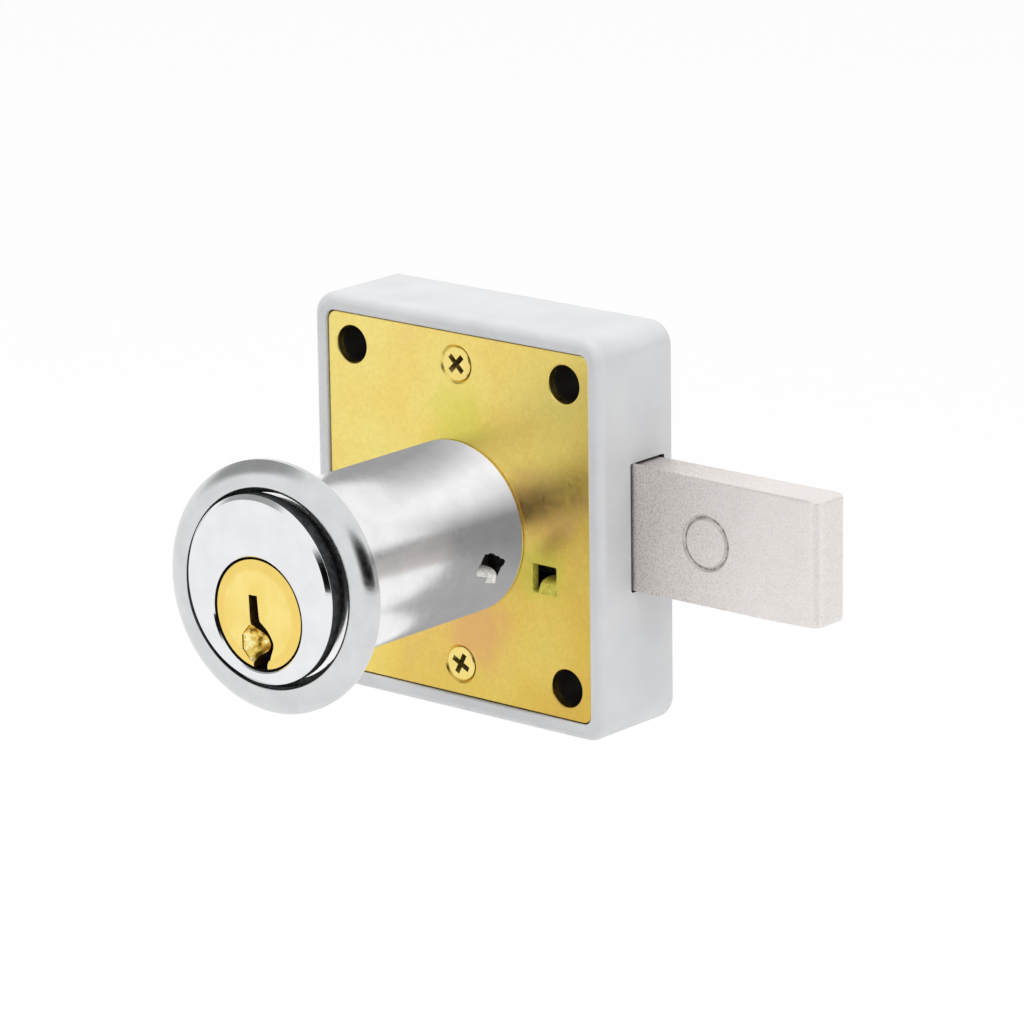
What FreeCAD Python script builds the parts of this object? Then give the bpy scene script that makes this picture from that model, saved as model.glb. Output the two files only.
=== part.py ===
import FreeCAD, Part
import math
import os
import types

import Sketcher
from FreeCAD import Placement, Rotation, Vector

# Furniture lock: a cast rim case with a sliding bolt, worked by a pin cylinder in a long round barrel.
# X is the way the bolt is thrown, Y runs from the key into the case, Z is up.
# The origin is on the barrel's axis, in the plane of the case's rim that lies on the door.
# All sizes are millimetres.
SIZES = {
    # Cast case, open at the front
    "case_width": 46.6,
    "case_height": 51.0,
    "case_depth": 14.4,
    "case_shift": 0.35,
    "case_lift": 1.4,
    "case_wall": 2.1,
    "case_floor": 2.0,
    "case_corner": 3.1,
    "rim_round": 1.2,
    "back_round": 1.2,
    "cavity_corner": 1.3,
    # Holes for the wood screws that hold the lock to the door, and the pillars round them
    "hole_inset_x": 6.1,
    "hole_inset_z": 6.2,
    "hole_dia": 4.8,
    "pillar_dia": 8.4,
    "sink_dia": 8.2,
    # Cover plate, let into the rim
    "plate_thick": 1.2,
    "plate_recess": 0.35,
    "plate_gap": 0.12,
    # Countersunk screws that hold the cover plate
    "screw_dia": 2.5,
    "screw_length": 9.0,
    "screw_head_dia": 4.5,
    "screw_head_sunk": 0.12,
    "screw_sink_dia": 4.9,
    "screw_cross": 2.7,
    "screw_cross_width": 0.6,
    "screw_cross_depth": 0.8,
    "boss_dia": 6.0,
    # Window in the cover plate with its bent tab
    "window_left": 12.2,
    "window_width": 3.8,
    "window_bottom": -6.35,
    "window_height": 3.6,
    "tab_width": 2.4,
    "tab_thick": 0.8,
    "tab_reach": 2.6,
    "tab_rise": 1.8,
    # Barrel: a tube over the cylinder housing, clamped between the housing's head and the cover plate
    "barrel_dia": 22.0,
    "tube_wall": 0.8,
    "face_reach": 36.3,
    "head_step": 0.7,
    "head_thick": 2.2,
    "head_bevel": 0.55,
    "housing_tail": 1.35,
    "clip_thick": 0.8,
    "clip_width": 2.1,
    "clip_groove": 0.65,
    "clip_opening": 9.0,
    # Window in the tube, with the tongue that keys the tube to the housing
    "tube_window_front": -8.3,
    "tube_window_length": 4.6,
    "tube_window_bottom": -2.9,
    "tube_window_height": 2.7,
    "tongue_length": 3.4,
    "tongue_thick": 0.6,
    "tongue_lean": 0.9,
    "tongue_rise": 1.3,
    # Loose rosette that slides on the barrel, and how far it hangs off the barrel's axis
    "rosette_width": 4.6,
    "rosette_bore_gap": 0.5,
    "rosette_head_gap": 0.5,
    "rosette_lead": 0.85,
    "rosette_seat": 1.95,
    "rosette_lip": 0.45,
    "rosette_depth": 2.6,
    "rosette_hub": 0.5,
    "rosette_rim": 0.7,
    "rosette_aside": 0.15,
    "rosette_drop": 0.15,
    "rosette_curve": 3.6,
    "rosette_hollow": 0.9,
    "rosette_hollow_width": 1.7,
    # Plug that the key turns, set below the barrel's axis
    "plug_drop": 3.0,
    "plug_face_dia": 13.6,
    "plug_face_bevel": 1.4,
    "plug_bevel_fall": 0.2,
    "plug_face_thick": 2.4,
    "plug_sunk": 0.05,
    "plug_face_gap": 0.3,
    "plug_dia": 12.4,
    "plug_rear": 2.2,
    "journal_dia": 6.0,
    "drive_square": 4.2,
    "tail_bore_depth": 6.5,
    "key_depth": 27.4,
    "dimple_dia": 4.0,
    "dimple_floor_dia": 1.0,
    "dimple_depth": 1.5,
    # Five rows of pins
    "pin_dia": 2.8,
    "pin_pitch": 4.0,
    "first_pin": 7.2,
    "pin_point": 0.7,
    "pin_tip_dia": 1.4,
    "driver_bevel": 0.35,
    "pin_top_gap": 0.2,
    "shear_gap": 0.3,
    "driver_length": 3.6,
    "spring_dia": 2.6,
    "spring_wire": 0.3,
    # Drive arm on the plug's tail, with the pin that carries the bolt
    "arm_thick": 1.6,
    "arm_hub_dia": 10.0,
    "arm_tip_dia": 4.8,
    "arm_web": 4.0,
    "arm_swing": 120.0,
    "drive_pin_dia": 3.0,
    "drive_pin_reach": 4.3,
    "rivet_dia": 4.0,
    "rivet_thick": 0.3,
    "tail_screw_dia": 2.5,
    "tail_screw_head": 6.8,
    "tail_screw_thick": 1.0,
    "tail_screw_length": 6.0,
    "tail_screw_slot": 0.7,
    # Leaf spring that clicks into two notches of the arm's hub
    "leaf_thick": 0.35,
    "leaf_width": 1.3,
    "leaf_half_span": 14.2,
    "leaf_gap": 0.15,
    "notch_depth": 0.6,
    "notch_half": 0.9,
    "post_width": 3.0,
    "post_height": 3.4,
    # Bolt
    "bolt_height": 15.8,
    "bolt_thick": 6.0,
    "bolt_front": 5.9,
    "bolt_lift": 2.4,
    "bolt_reach": 52.0,
    "bolt_throw": 27.6,
    "bolt_end_round": 1.5,
    "bolt_edge_round": 0.5,
    "slot_play": 1.2,
    "slot_end_gap": 0.25,
    "lug_cap": 1.3,
    "mark_dia": 7.1,
    "mark_ring": 0.45,
    "mark_depth": 0.2,
    "mark_place": 35.0,
    "rail_height": 1.2,
    "rail_top": 7.0,
    "pad_inset": 4.2,
    # Clearances
    "slide_gap": 0.15,
    "guide_gap": 0.1,
    "turn_gap": 0.05,
    "seat_gap": 0.03,
    "pass_gap": 0.15,
    "stop_gap": 0.25,
}

# Lengths of the five key pins, from the front one back
KEY_PINS = (4.6, 5.4, 4.2, 5.0, 5.6)

# Keyway outline about the plug's axis, as across and up: a slot that swings right and leaves at the bottom
KEYWAY = (
    (-1.35, 2.55),
    (-1.25, -0.7),
    (0.0, -3.0),
    (-0.05, -3.5),
    (0.95, -3.7),
    (-0.55, -5.1),
    (-0.9, -7.2),
    (1.6, -7.2),
    (1.4, -5.7),
    (2.55, -3.1),
    (0.2, -0.35),
    (-0.1, 2.55),
)
# Radius of each curved side of that outline, positive where it turns left
KEYWAY_BENDS = {1: -2.6, 8: 3.2, 9: 4.2}
# Middle of the round dimple that leads the key in, across and up from the plug's axis
KEY_DIMPLE = (-0.9, -3.2)

# Way that the loose rosette's axis points: it leans back at its right and at its top
ROSETTE_LEAN = (-0.074, 1.0, -0.031)

# Turns of a pin spring, and sides of its wire's section
SPRING_TURNS = 5
WIRE_SIDES = 6


class Size:
    """A length that carries its number and the sheet expression that gives it."""

    def __init__(self, text, number):
        self.text = text
        self.number = number

    def join(self, sign, other, number):
        return Size("(%s %s %s)" % (self.text, sign, other.text), number)

    def __add__(self, other):
        other = as_size(other)
        return self.join("+", other, self.number + other.number)

    def __sub__(self, other):
        other = as_size(other)
        return self.join("-", other, self.number - other.number)

    def __mul__(self, other):
        other = as_size(other)
        return self.join("*", other, self.number * other.number)

    def __truediv__(self, other):
        other = as_size(other)
        return self.join("/", other, self.number / other.number)

    def __radd__(self, other):
        return as_size(other) + self

    def __rsub__(self, other):
        return as_size(other) - self

    def __rmul__(self, other):
        return as_size(other) * self

    def __neg__(self):
        return as_size(0) - self

    def __float__(self):
        return float(self.number)


def as_size(value):
    """A plain number as a Size, so that both can be mixed."""
    if isinstance(value, Size):
        return value
    return Size(repr(value), value)


doc = FreeCAD.newDocument("FurnitureLock")
sheet = doc.addObject("Spreadsheet::Sheet", "Sizes")
for row, (alias, number) in enumerate(SIZES.items(), start=1):
    sheet.set("A%d" % row, alias)
    sheet.set("B%d" % row, str(number))
    sheet.setAlias("B%d" % row, alias)
doc.recompute()
s = types.SimpleNamespace(**{alias: Size("Sizes." + alias, number) for alias, number in SIZES.items()})

# Places worked out from the sizes
case_left = s.case_shift - s.case_width / 2
case_right = s.case_shift + s.case_width / 2
case_bottom = s.case_lift - s.case_height / 2
case_top = s.case_lift + s.case_height / 2
inner_left = case_left + s.case_wall
inner_right = case_right - s.case_wall
inner_bottom = case_bottom + s.case_wall
inner_top = case_top - s.case_wall
floor_y = s.case_depth - s.case_floor
plate_front = s.plate_recess
plate_back = s.plate_recess + s.plate_thick
hole_columns = (case_left + s.hole_inset_x, case_right - s.hole_inset_x)
hole_rows = (case_bottom + s.hole_inset_z, case_top - s.hole_inset_z)
hole_places = [(x, z) for x in hole_columns for z in hole_rows]
screw_places = [(s.case_shift, z) for z in hole_rows]
barrel_radius = s.barrel_dia / 2
tube_inner = barrel_radius - s.tube_wall
housing_radius = tube_inner - s.turn_gap
head_radius = barrel_radius + s.head_step
head_back = s.head_thick - s.face_reach
housing_back = plate_back + s.housing_tail
plug_z = -s.plug_drop
plug_front = s.plug_sunk - s.face_reach
plug_shoulder = plug_front + s.plug_face_thick
plug_radius = s.plug_dia / 2
plug_bore = plug_radius + s.turn_gap
journal_radius = s.journal_dia / 2
body_end = -s.plug_rear
pin_radius = s.pin_dia / 2
chamber_radius = pin_radius + s.turn_gap
pin_places = [plug_front + s.first_pin + row * s.pin_pitch for row in range(len(KEY_PINS))]
shear_z = plug_z + plug_radius
arm_front = housing_back + s.pass_gap
arm_back = arm_front + s.arm_thick
half_swing = math.radians(SIZES["arm_swing"] / 2)
arm_radius = s.bolt_throw / 2 / math.sin(half_swing)
arm_turn = 90 - SIZES["arm_swing"] / 2
pin_x = s.bolt_throw / 2
pin_low = plug_z + arm_radius * math.cos(half_swing)
pin_high = plug_z + arm_radius
drive_pin_radius = s.drive_pin_dia / 2
bolt_back = s.bolt_front + s.bolt_thick
bolt_bottom = s.bolt_lift - s.bolt_height / 2
bolt_top = s.bolt_lift + s.bolt_height / 2
bolt_tail = inner_left + s.bolt_throw + s.stop_gap
lug_right = inner_right - s.stop_gap
slot_half = drive_pin_radius + s.slot_play
slot_bottom = pin_low - drive_pin_radius - s.slot_end_gap
slot_top = pin_high + drive_pin_radius + s.slot_end_gap
lug_top = slot_top + s.lug_cap
leaf_top = plug_z - s.arm_hub_dia / 2 - s.leaf_gap
leaf_bottom = leaf_top - s.leaf_thick
leaf_front = arm_front + (s.arm_thick - s.leaf_width) / 2
post_top = leaf_top + s.post_height / 2


def bind(thing, prop, size):
    """Tie one property of an object to the sheet."""
    thing.setExpression(prop, as_size(size).text)


def new_body(label):
    """A sub-part made of sketches and features; its label names its file."""
    body = doc.addObject("PartDesign::Body", label)
    body.Label = label
    return body


def new_sketch(body, name, plane, height):
    """An empty sketch on one of the body's own planes, moved by height along X, Y or Z."""
    sketch = body.newObject("Sketcher::SketchObject", name)
    origin_plane = [feature for feature in body.Origin.OriginFeatures if feature.Role == plane][0]
    sketch.AttachmentSupport = (origin_plane, "")
    sketch.MapMode = "FlatFace"
    along_normal = -as_size(height) if plane == "XZ_Plane" else as_size(height)
    bind(sketch, "AttachmentOffset.Base.z", along_normal)
    return sketch


def hold_point(sketch, geometry, vertex, across, upward):
    """Hold a point of a sketch at two distances from the origin."""
    for kind, size in (("DistanceX", across), ("DistanceY", upward)):
        size = as_size(size)
        index = sketch.addConstraint(Sketcher.Constraint(kind, -1, 1, geometry, vertex, float(size)))
        sketch.setExpression("Constraints[%d]" % index, size.text)


def outline(body, name, plane, height, points, arcs=None):
    """A closed sketch through points; arcs gives a side's radius, positive where it turns left."""
    arcs = arcs or {}
    sketch = new_sketch(body, name, plane, height)
    corners = [Vector(float(across), float(upward), 0) for across, upward in points]
    starts = []
    ends = []
    for side, start in enumerate(corners):
        end = corners[(side + 1) % len(corners)]
        if side not in arcs:
            sketch.addGeometry(Part.LineSegment(start, end))
            starts.append(1)
            ends.append(2)
            continue
        radius = abs(float(arcs[side]))
        left = float(arcs[side]) > 0
        chord = end - start
        to_centre = Vector(-chord.y, chord.x, 0).normalize()
        drop = math.sqrt(radius ** 2 - (chord.Length / 2) ** 2)
        centre = start + chord * 0.5 + to_centre * (drop if left else -drop)
        first, last = (start, end) if left else (end, start)
        angles = [math.atan2(point.y - centre.y, point.x - centre.x) for point in (first, last)]
        circle = Part.Circle(centre, Vector(0, 0, 1), radius)
        sketch.addGeometry(Part.ArcOfCircle(circle, angles[0], angles[1]))
        starts.append(1 if left else 2)
        ends.append(2 if left else 1)
    for side in range(len(corners)):
        after = (side + 1) % len(corners)
        sketch.addConstraint(Sketcher.Constraint("Coincident", side, ends[side], after, starts[after]))
    for side, (across, upward) in enumerate(points):
        hold_point(sketch, side, starts[side], across, upward)
    for side, radius in arcs.items():
        radius = as_size(radius) if float(radius) > 0 else -as_size(radius)
        index = sketch.addConstraint(Sketcher.Constraint("Radius", side, float(radius)))
        sketch.setExpression("Constraints[%d]" % index, radius.text)
    return sketch


def rectangle(body, name, plane, height, low_x, high_x, low_y, high_y):
    """A rectangle between two pairs of distances."""
    points = [(low_x, low_y), (high_x, low_y), (high_x, high_y), (low_x, high_y)]
    return outline(body, name, plane, height, points)


def circles(body, name, plane, height, places, radius):
    """Circles of one radius."""
    sketch = new_sketch(body, name, plane, height)
    for index, (across, upward) in enumerate(places):
        centre = Vector(float(across), float(upward), 0)
        sketch.addGeometry(Part.Circle(centre, Vector(0, 0, 1), float(radius)))
        hold_point(sketch, index, 3, across, upward)
        held = sketch.addConstraint(Sketcher.Constraint("Radius", index, float(radius)))
        sketch.setExpression("Constraints[%d]" % held, as_size(radius).text)
    return sketch


def must_build(feature):
    """Stop if a feature fails."""
    doc.recompute()
    if "Invalid" in feature.State:
        raise RuntimeError(feature.Name + " fails")


def pad(body, sketch, length):
    """Grow a sketch along +X, +Y or +Z."""
    feature = body.newObject("PartDesign::Pad", sketch.Name + "_pad")
    feature.Profile = sketch
    bind(feature, "Length", length)
    feature.Reversed = sketch.AttachmentSupport[0][0].Role == "XZ_Plane"
    must_build(feature)


def must_remove(body, feature, before):
    """Stop if a cut took nothing away."""
    doc.recompute()
    if body.Shape.Volume > before - 1e-6:
        raise RuntimeError(feature.Name + " cuts nothing")


def pocket(body, sketch, length, backward=False):
    """Cut a sketch along +X, +Y or +Z, or the other way where backward is set."""
    before = body.Shape.Volume
    feature = body.newObject("PartDesign::Pocket", sketch.Name + "_pocket")
    feature.Profile = sketch
    bind(feature, "Length", length)
    on_front = sketch.AttachmentSupport[0][0].Role == "XZ_Plane"
    feature.Reversed = on_front == backward
    must_remove(body, feature, before)


def turned(body, sketch):
    """Turn a sketch once round its own vertical axis."""
    feature = body.newObject("PartDesign::Revolution", sketch.Name + "_turned")
    feature.Profile = sketch
    feature.ReferenceAxis = (sketch, ["V_Axis"])
    feature.Angle = 360
    must_build(feature)


def edges_where(shape, test):
    """Names of the edges whose middle point and direction pass a test."""
    names = []
    for index, edge in enumerate(shape.Edges, start=1):
        middle = edge.valueAt((edge.FirstParameter + edge.LastParameter) / 2)
        if test(edge, middle):
            names.append("Edge%d" % index)
    if not names:
        raise RuntimeError("no edge fits the test")
    return names


def round_edges(body, name, radius, test):
    """Round the edges that pass a test."""
    base = body.Tip
    feature = body.newObject("PartDesign::Fillet", name)
    feature.Base = (base, edges_where(base.Shape, test))
    bind(feature, "Radius", radius)
    must_build(feature)


def bevel_edges(body, name, size, test):
    """Bevel the edges that pass a test at 45 degrees."""
    base = body.Tip
    feature = body.newObject("PartDesign::Chamfer", name)
    feature.Base = (base, edges_where(base.Shape, test))
    bind(feature, "Size", size)
    must_build(feature)


def near(value, size, within=0.02):
    """True where a number is the given size."""
    return abs(value - float(size)) < within


def along(edge, direction):
    """True for a straight edge that runs along a direction."""
    if edge.Curve.TypeId != "Part::GeomLine":
        return False
    return abs(edge.tangentAt(edge.FirstParameter).dot(direction)) > 0.999


X_WAY = Vector(1, 0, 0)
Y_WAY = Vector(0, 1, 0)
Z_WAY = Vector(0, 0, 1)
# Turns that lay a shape's own Z along Y, both ways
TO_PLUS_Y = Rotation(X_WAY, -90)
TO_MINUS_Y = Rotation(X_WAY, 90)


def place(thing, x, y, z, turn=None):
    """Put an object at sizes from the sheet, turned by a fixed rotation."""
    if turn is not None:
        thing.Placement = Placement(Vector(0, 0, 0), turn)
    bind(thing, "Placement.Base.x", x)
    bind(thing, "Placement.Base.y", y)
    bind(thing, "Placement.Base.z", z)
    return thing


def rod(name, radius, length, x, y, z, turn=TO_PLUS_Y):
    """A plain round rod whose first end is at x, y, z."""
    thing = doc.addObject("Part::Cylinder", name)
    bind(thing, "Radius", radius)
    bind(thing, "Height", length)
    return place(thing, x, y, z, turn)


def taper(name, first_radius, last_radius, length, x, y, z, turn=TO_PLUS_Y):
    """A round taper whose first end is at x, y, z."""
    thing = doc.addObject("Part::Cone", name)
    bind(thing, "Radius1", first_radius)
    bind(thing, "Radius2", last_radius)
    bind(thing, "Height", length)
    return place(thing, x, y, z, turn)


def block(name, low_x, high_x, low_y, high_y, low_z, high_z):
    """A block between three pairs of distances."""
    thing = doc.addObject("Part::Box", name)
    bind(thing, "Length", as_size(high_x) - low_x)
    bind(thing, "Width", as_size(high_y) - low_y)
    bind(thing, "Height", as_size(high_z) - low_z)
    return place(thing, low_x, low_y, low_z)


def fused(label, parts):
    """One solid out of parts that touch."""
    thing = doc.addObject("Part::MultiFuse", label)
    thing.Shapes = parts
    thing.Refine = True
    thing.Label = label
    return thing


def cut_away(label, base, tools):
    """A base with tools taken out of it."""
    tool = tools[0]
    if len(tools) > 1:
        tool = doc.addObject("Part::MultiFuse", label + "_tools")
        tool.Shapes = tools
    thing = doc.addObject("Part::Cut", label)
    thing.Base = base
    thing.Tool = tool
    thing.Label = label
    doc.recompute()
    if thing.Shape.Volume > base.Shape.Volume - 1e-6:
        raise RuntimeError(label + " cuts nothing")
    return thing


def group(label, parts):
    """Separate solids kept as one node."""
    thing = doc.addObject("Part::Compound", label)
    thing.Links = parts
    thing.Label = label
    return thing


sub_parts = []


def make_case():
    """Cast case: a rounded box with a floor, pillars, screw bosses, bolt guides and spring posts."""
    body = new_body("case")
    shell = rectangle(body, "case_outline", "XZ_Plane", 0, case_left, case_right, case_bottom, case_top)
    pad(body, shell, s.case_depth)
    round_edges(body, "case_corners", s.case_corner, lambda edge, middle: along(edge, Y_WAY))
    round_edges(body, "case_rim", s.rim_round, lambda edge, middle: near(middle.y, 0))
    round_edges(body, "case_back", s.back_round, lambda edge, middle: near(middle.y, s.case_depth))
    cavity = rectangle(
        body, "case_cavity", "XZ_Plane", 0, inner_left, inner_right, inner_bottom, inner_top
    )
    pocket(body, cavity, floor_y)
    half_width = float(inner_right - inner_left) / 2

    def cavity_edge(edge, middle):
        inside = near(abs(middle.x - float(s.case_shift)), half_width)
        return along(edge, Y_WAY) and inside

    round_edges(body, "cavity_corners", s.cavity_corner, cavity_edge)
    pillars = circles(body, "case_pillars", "XZ_Plane", plate_back, hole_places, s.pillar_dia / 2)
    pad(body, pillars, floor_y - plate_back + s.case_floor / 2)
    bosses = circles(body, "screw_bosses", "XZ_Plane", plate_back, screw_places, s.boss_dia / 2)
    pad(body, bosses, floor_y - plate_back + s.case_floor / 2)
    # Two ribs along X guide the bolt's lower edge and the top of its lug
    low_rail = rectangle(
        body, "low_rail", "XZ_Plane", s.rail_top, inner_left - s.case_wall / 2,
        inner_right + s.case_wall / 2, bolt_bottom - s.guide_gap - s.rail_height, bolt_bottom - s.guide_gap,
    )
    pad(body, low_rail, floor_y - s.rail_top + s.case_floor / 2)
    high_rail = rectangle(
        body, "high_rail", "XZ_Plane", s.rail_top, inner_left - s.case_wall / 2,
        inner_right + s.case_wall / 2, lug_top + s.guide_gap, lug_top + s.guide_gap + s.rail_height,
    )
    pad(body, high_rail, floor_y - s.rail_top + s.case_floor / 2)
    # Two pads on the floor carry the bolt's back
    for name, level in (("low_pad", bolt_bottom + s.pad_inset), ("high_pad", bolt_top - s.pad_inset)):
        strip = rectangle(
            body, name, "XZ_Plane", bolt_back + s.guide_gap, inner_left - s.case_wall / 2,
            inner_right + s.case_wall / 2, level - s.rail_height / 2, level + s.rail_height / 2,
        )
        pad(body, strip, floor_y - bolt_back - s.guide_gap + s.case_floor / 2)
    # Two posts hold the ends of the leaf spring in a slit
    for name, side in (("left_post", -1), ("right_post", 1)):
        middle = side * s.leaf_half_span
        post = rectangle(
            body, name, "XZ_Plane", leaf_front - s.pass_gap, middle - s.post_width / 2,
            middle + s.post_width / 2, post_top - s.post_height, post_top,
        )
        pad(body, post, floor_y - leaf_front + s.pass_gap + s.case_floor / 2)
    slit = rectangle(
        body, "leaf_slits", "XZ_Plane", leaf_front - s.pass_gap, -s.leaf_half_span - s.seat_gap,
        s.leaf_half_span + s.seat_gap, leaf_bottom - s.seat_gap, leaf_top + s.seat_gap,
    )
    pocket(body, slit, s.leaf_width + s.pass_gap + s.seat_gap)
    bolt_slot = rectangle(
        body, "bolt_slot", "YZ_Plane", inner_right - s.case_wall / 2, s.bolt_front - s.slide_gap,
        bolt_back + s.slide_gap, bolt_bottom - s.slide_gap, bolt_top + s.slide_gap,
    )
    pocket(body, bolt_slot, s.case_wall * 2)
    holes = circles(body, "fixing_holes", "XZ_Plane", 0, hole_places, s.hole_dia / 2)
    pocket(body, holes, s.case_depth)
    tapped = circles(
        body, "tapped_holes", "XZ_Plane", plate_back, screw_places, s.screw_dia / 2 + s.seat_gap
    )
    pocket(body, tapped, s.screw_length)
    bevel_edges(
        body, "back_sinks", (s.sink_dia - s.hole_dia) / 2,
        lambda edge, middle: near(middle.y, s.case_depth) and edge.Curve.TypeId == "Part::GeomCircle"
        and near(edge.Curve.Radius, s.hole_dia / 2),
    )
    sub_parts.append(body)


def make_cover_plate():
    """Pressed steel cover plate with its holes, its two countersinks and one lanced tab."""
    body = new_body("cover_plate")
    blank = rectangle(
        body, "plate_outline", "XZ_Plane", plate_front, inner_left + s.plate_gap, inner_right - s.plate_gap,
        inner_bottom + s.plate_gap, inner_top - s.plate_gap,
    )
    pad(body, blank, s.plate_thick)
    round_edges(body, "plate_corners", s.cavity_corner, lambda edge, middle: along(edge, Y_WAY))
    centre = circles(body, "barrel_hole", "XZ_Plane", plate_front, [(0, 0)], tube_inner)
    pocket(body, centre, s.plate_thick)
    fixing = circles(body, "plate_fixing_holes", "XZ_Plane", plate_front, hole_places, s.hole_dia / 2)
    pocket(body, fixing, s.plate_thick)
    screw_radius = s.screw_dia / 2 + s.turn_gap
    screws = circles(body, "plate_screw_holes", "XZ_Plane", plate_front, screw_places, screw_radius)
    pocket(body, screws, s.plate_thick)
    bevel_edges(
        body, "screw_sinks", s.screw_sink_dia / 2 - screw_radius,
        lambda edge, middle: near(middle.y, plate_front) and edge.Curve.TypeId == "Part::GeomCircle"
        and near(edge.Curve.Radius, screw_radius),
    )
    window_right = s.window_left + s.window_width
    window = rectangle(
        body, "plate_window", "XZ_Plane", plate_front, s.window_left, window_right, s.window_bottom,
        s.window_bottom + s.window_height,
    )
    pocket(body, window, s.plate_thick)
    root = plate_front + s.plate_thick / 4
    tab = outline(
        body, "plate_tab", "YZ_Plane", window_right - s.tab_width,
        [
            (root, s.window_bottom),
            (plate_back, s.window_bottom - s.tab_thick / 2),
            (plate_back + s.tab_reach, s.window_bottom + s.tab_rise - s.tab_thick),
            (plate_back + s.tab_reach - s.tab_thick / 2, s.window_bottom + s.tab_rise),
            (root + s.tab_thick / 2, s.window_bottom + s.tab_thick / 2),
        ],
    )
    pad(body, tab, s.tab_width)
    sub_parts.append(body)


def make_cover_screws():
    """Two countersunk screws with a cross recess, just below the plate's face."""
    screws = []
    head = (s.screw_head_dia - s.screw_dia) / 2
    top = plate_front + s.screw_head_sunk
    for number, (x, z) in enumerate(screw_places, start=1):
        name = "cover_screw_%d" % number
        cone = taper(name + "_head", s.screw_head_dia / 2, s.screw_dia / 2, head, x, top, z)
        shank = rod(name + "_shank", s.screw_dia / 2, s.screw_length - head, x, top + head, z)
        solid = fused(name + "_solid", [cone, shank])
        wide = s.screw_cross / 2
        thin = s.screw_cross_width / 2
        bars = [
            block(name + "_bar_1", x - wide, x + wide, top, top + s.screw_cross_depth, z - thin, z + thin),
            block(name + "_bar_2", x - thin, x + thin, top, top + s.screw_cross_depth, z - wide, z + wide),
        ]
        screws.append(cut_away(name, solid, bars))
    sub_parts.append(group("cover_screws", screws))


def make_housing():
    """Cylinder housing: the bevelled head, the body inside the tube, the bores and the pin chambers."""
    body = new_body("cylinder_housing")
    groove_radius = housing_radius - s.clip_groove
    clip_back = plate_back + s.clip_thick + 2 * s.seat_gap
    profile = outline(
        body, "housing_profile", "XY_Plane", 0,
        [
            (0, -s.face_reach),
            (head_radius - s.head_bevel, -s.face_reach),
            (head_radius, s.head_bevel - s.face_reach),
            (head_radius, head_back),
            (housing_radius, head_back),
            (housing_radius, plate_back),
            (groove_radius, plate_back),
            (groove_radius, clip_back),
            (housing_radius, clip_back),
            (housing_radius, housing_back),
            (0, housing_back),
        ],
    )
    turned(body, profile)
    face_radius = s.plug_face_dia / 2 + s.plug_face_gap
    seat = circles(body, "face_bore", "XZ_Plane", -s.face_reach, [(0, plug_z)], face_radius)
    pocket(body, seat, plug_shoulder + s.face_reach + s.seat_gap)
    bore = circles(body, "plug_bore", "XZ_Plane", -s.face_reach, [(0, plug_z)], plug_bore)
    pocket(body, bore, body_end + s.face_reach + s.turn_gap)
    journal = circles(
        body, "journal_bore", "XZ_Plane", body_end - s.turn_gap, [(0, plug_z)], journal_radius + s.turn_gap
    )
    pocket(body, journal, housing_back - body_end + s.case_wall)
    chambers = circles(
        body, "housing_chambers", "XY_Plane", plug_z + plug_radius / 2, [(0, y) for y in pin_places],
        chamber_radius,
    )
    pocket(body, chambers, s.barrel_dia)
    window_top = s.tube_window_bottom + s.tube_window_height
    notch = rectangle(
        body, "tongue_notch", "YZ_Plane", housing_radius - s.tongue_lean - s.tube_wall,
        s.tube_window_front - s.pass_gap, s.tube_window_front + s.tube_window_length + s.pass_gap,
        s.tube_window_bottom - s.tongue_thick, window_top + s.pass_gap,
    )
    pocket(body, notch, s.tongue_lean + 2 * s.tube_wall)
    sub_parts.append(body)


def make_tube():
    """Barrel tube with a window near its foot; a tongue leans in from the window's lower edge."""
    body = new_body("barrel_tube")
    wall = circles(body, "tube_outside", "XZ_Plane", head_back, [(0, 0)], barrel_radius)
    pad(body, wall, plate_front - head_back)
    bore = circles(body, "tube_bore", "XZ_Plane", head_back, [(0, 0)], tube_inner)
    pocket(body, bore, plate_front - head_back)
    window_top = s.tube_window_bottom + s.tube_window_height
    window = rectangle(
        body, "tube_window", "YZ_Plane", tube_inner / 2, s.tube_window_front,
        s.tube_window_front + s.tube_window_length, s.tube_window_bottom, window_top,
    )
    pocket(body, window, barrel_radius)
    foot_outer = math.sqrt(float(s.barrel_dia) ** 2 / 4 - float(s.tube_window_bottom) ** 2)
    foot_inner = math.sqrt(float(tube_inner) ** 2 - float(s.tube_window_bottom) ** 2)
    sunk = s.tube_wall / 4
    tongue = outline(
        body, "tube_tongue", "XZ_Plane", s.tube_window_front,
        [
            (foot_inner + sunk, s.tube_window_bottom - sunk),
            (foot_outer - sunk, s.tube_window_bottom - sunk),
            (foot_outer - sunk - s.tongue_lean, s.tube_window_bottom + s.tongue_rise),
            (foot_outer - sunk - s.tongue_lean - s.tongue_thick, s.tube_window_bottom + s.tongue_rise),
        ],
    )
    pad(body, tongue, s.tongue_length)
    sub_parts.append(body)


def make_clip():
    """Spring clip behind the cover plate; it holds the housing, the tube and the plate together."""
    inner = housing_radius - s.clip_groove + s.seat_gap
    start = plate_back + s.seat_gap
    ring = rod("clip_ring", inner + s.clip_width, s.clip_thick, 0, start, 0)
    hollow = rod("clip_hollow", inner, s.clip_thick, 0, start, 0)
    half = s.clip_opening / 2
    gap = block("clip_gap", -half, half, start, start + s.clip_thick, -s.barrel_dia, 0)
    sub_parts.append(cut_away("barrel_clip", ring, [hollow, gap]))


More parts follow.
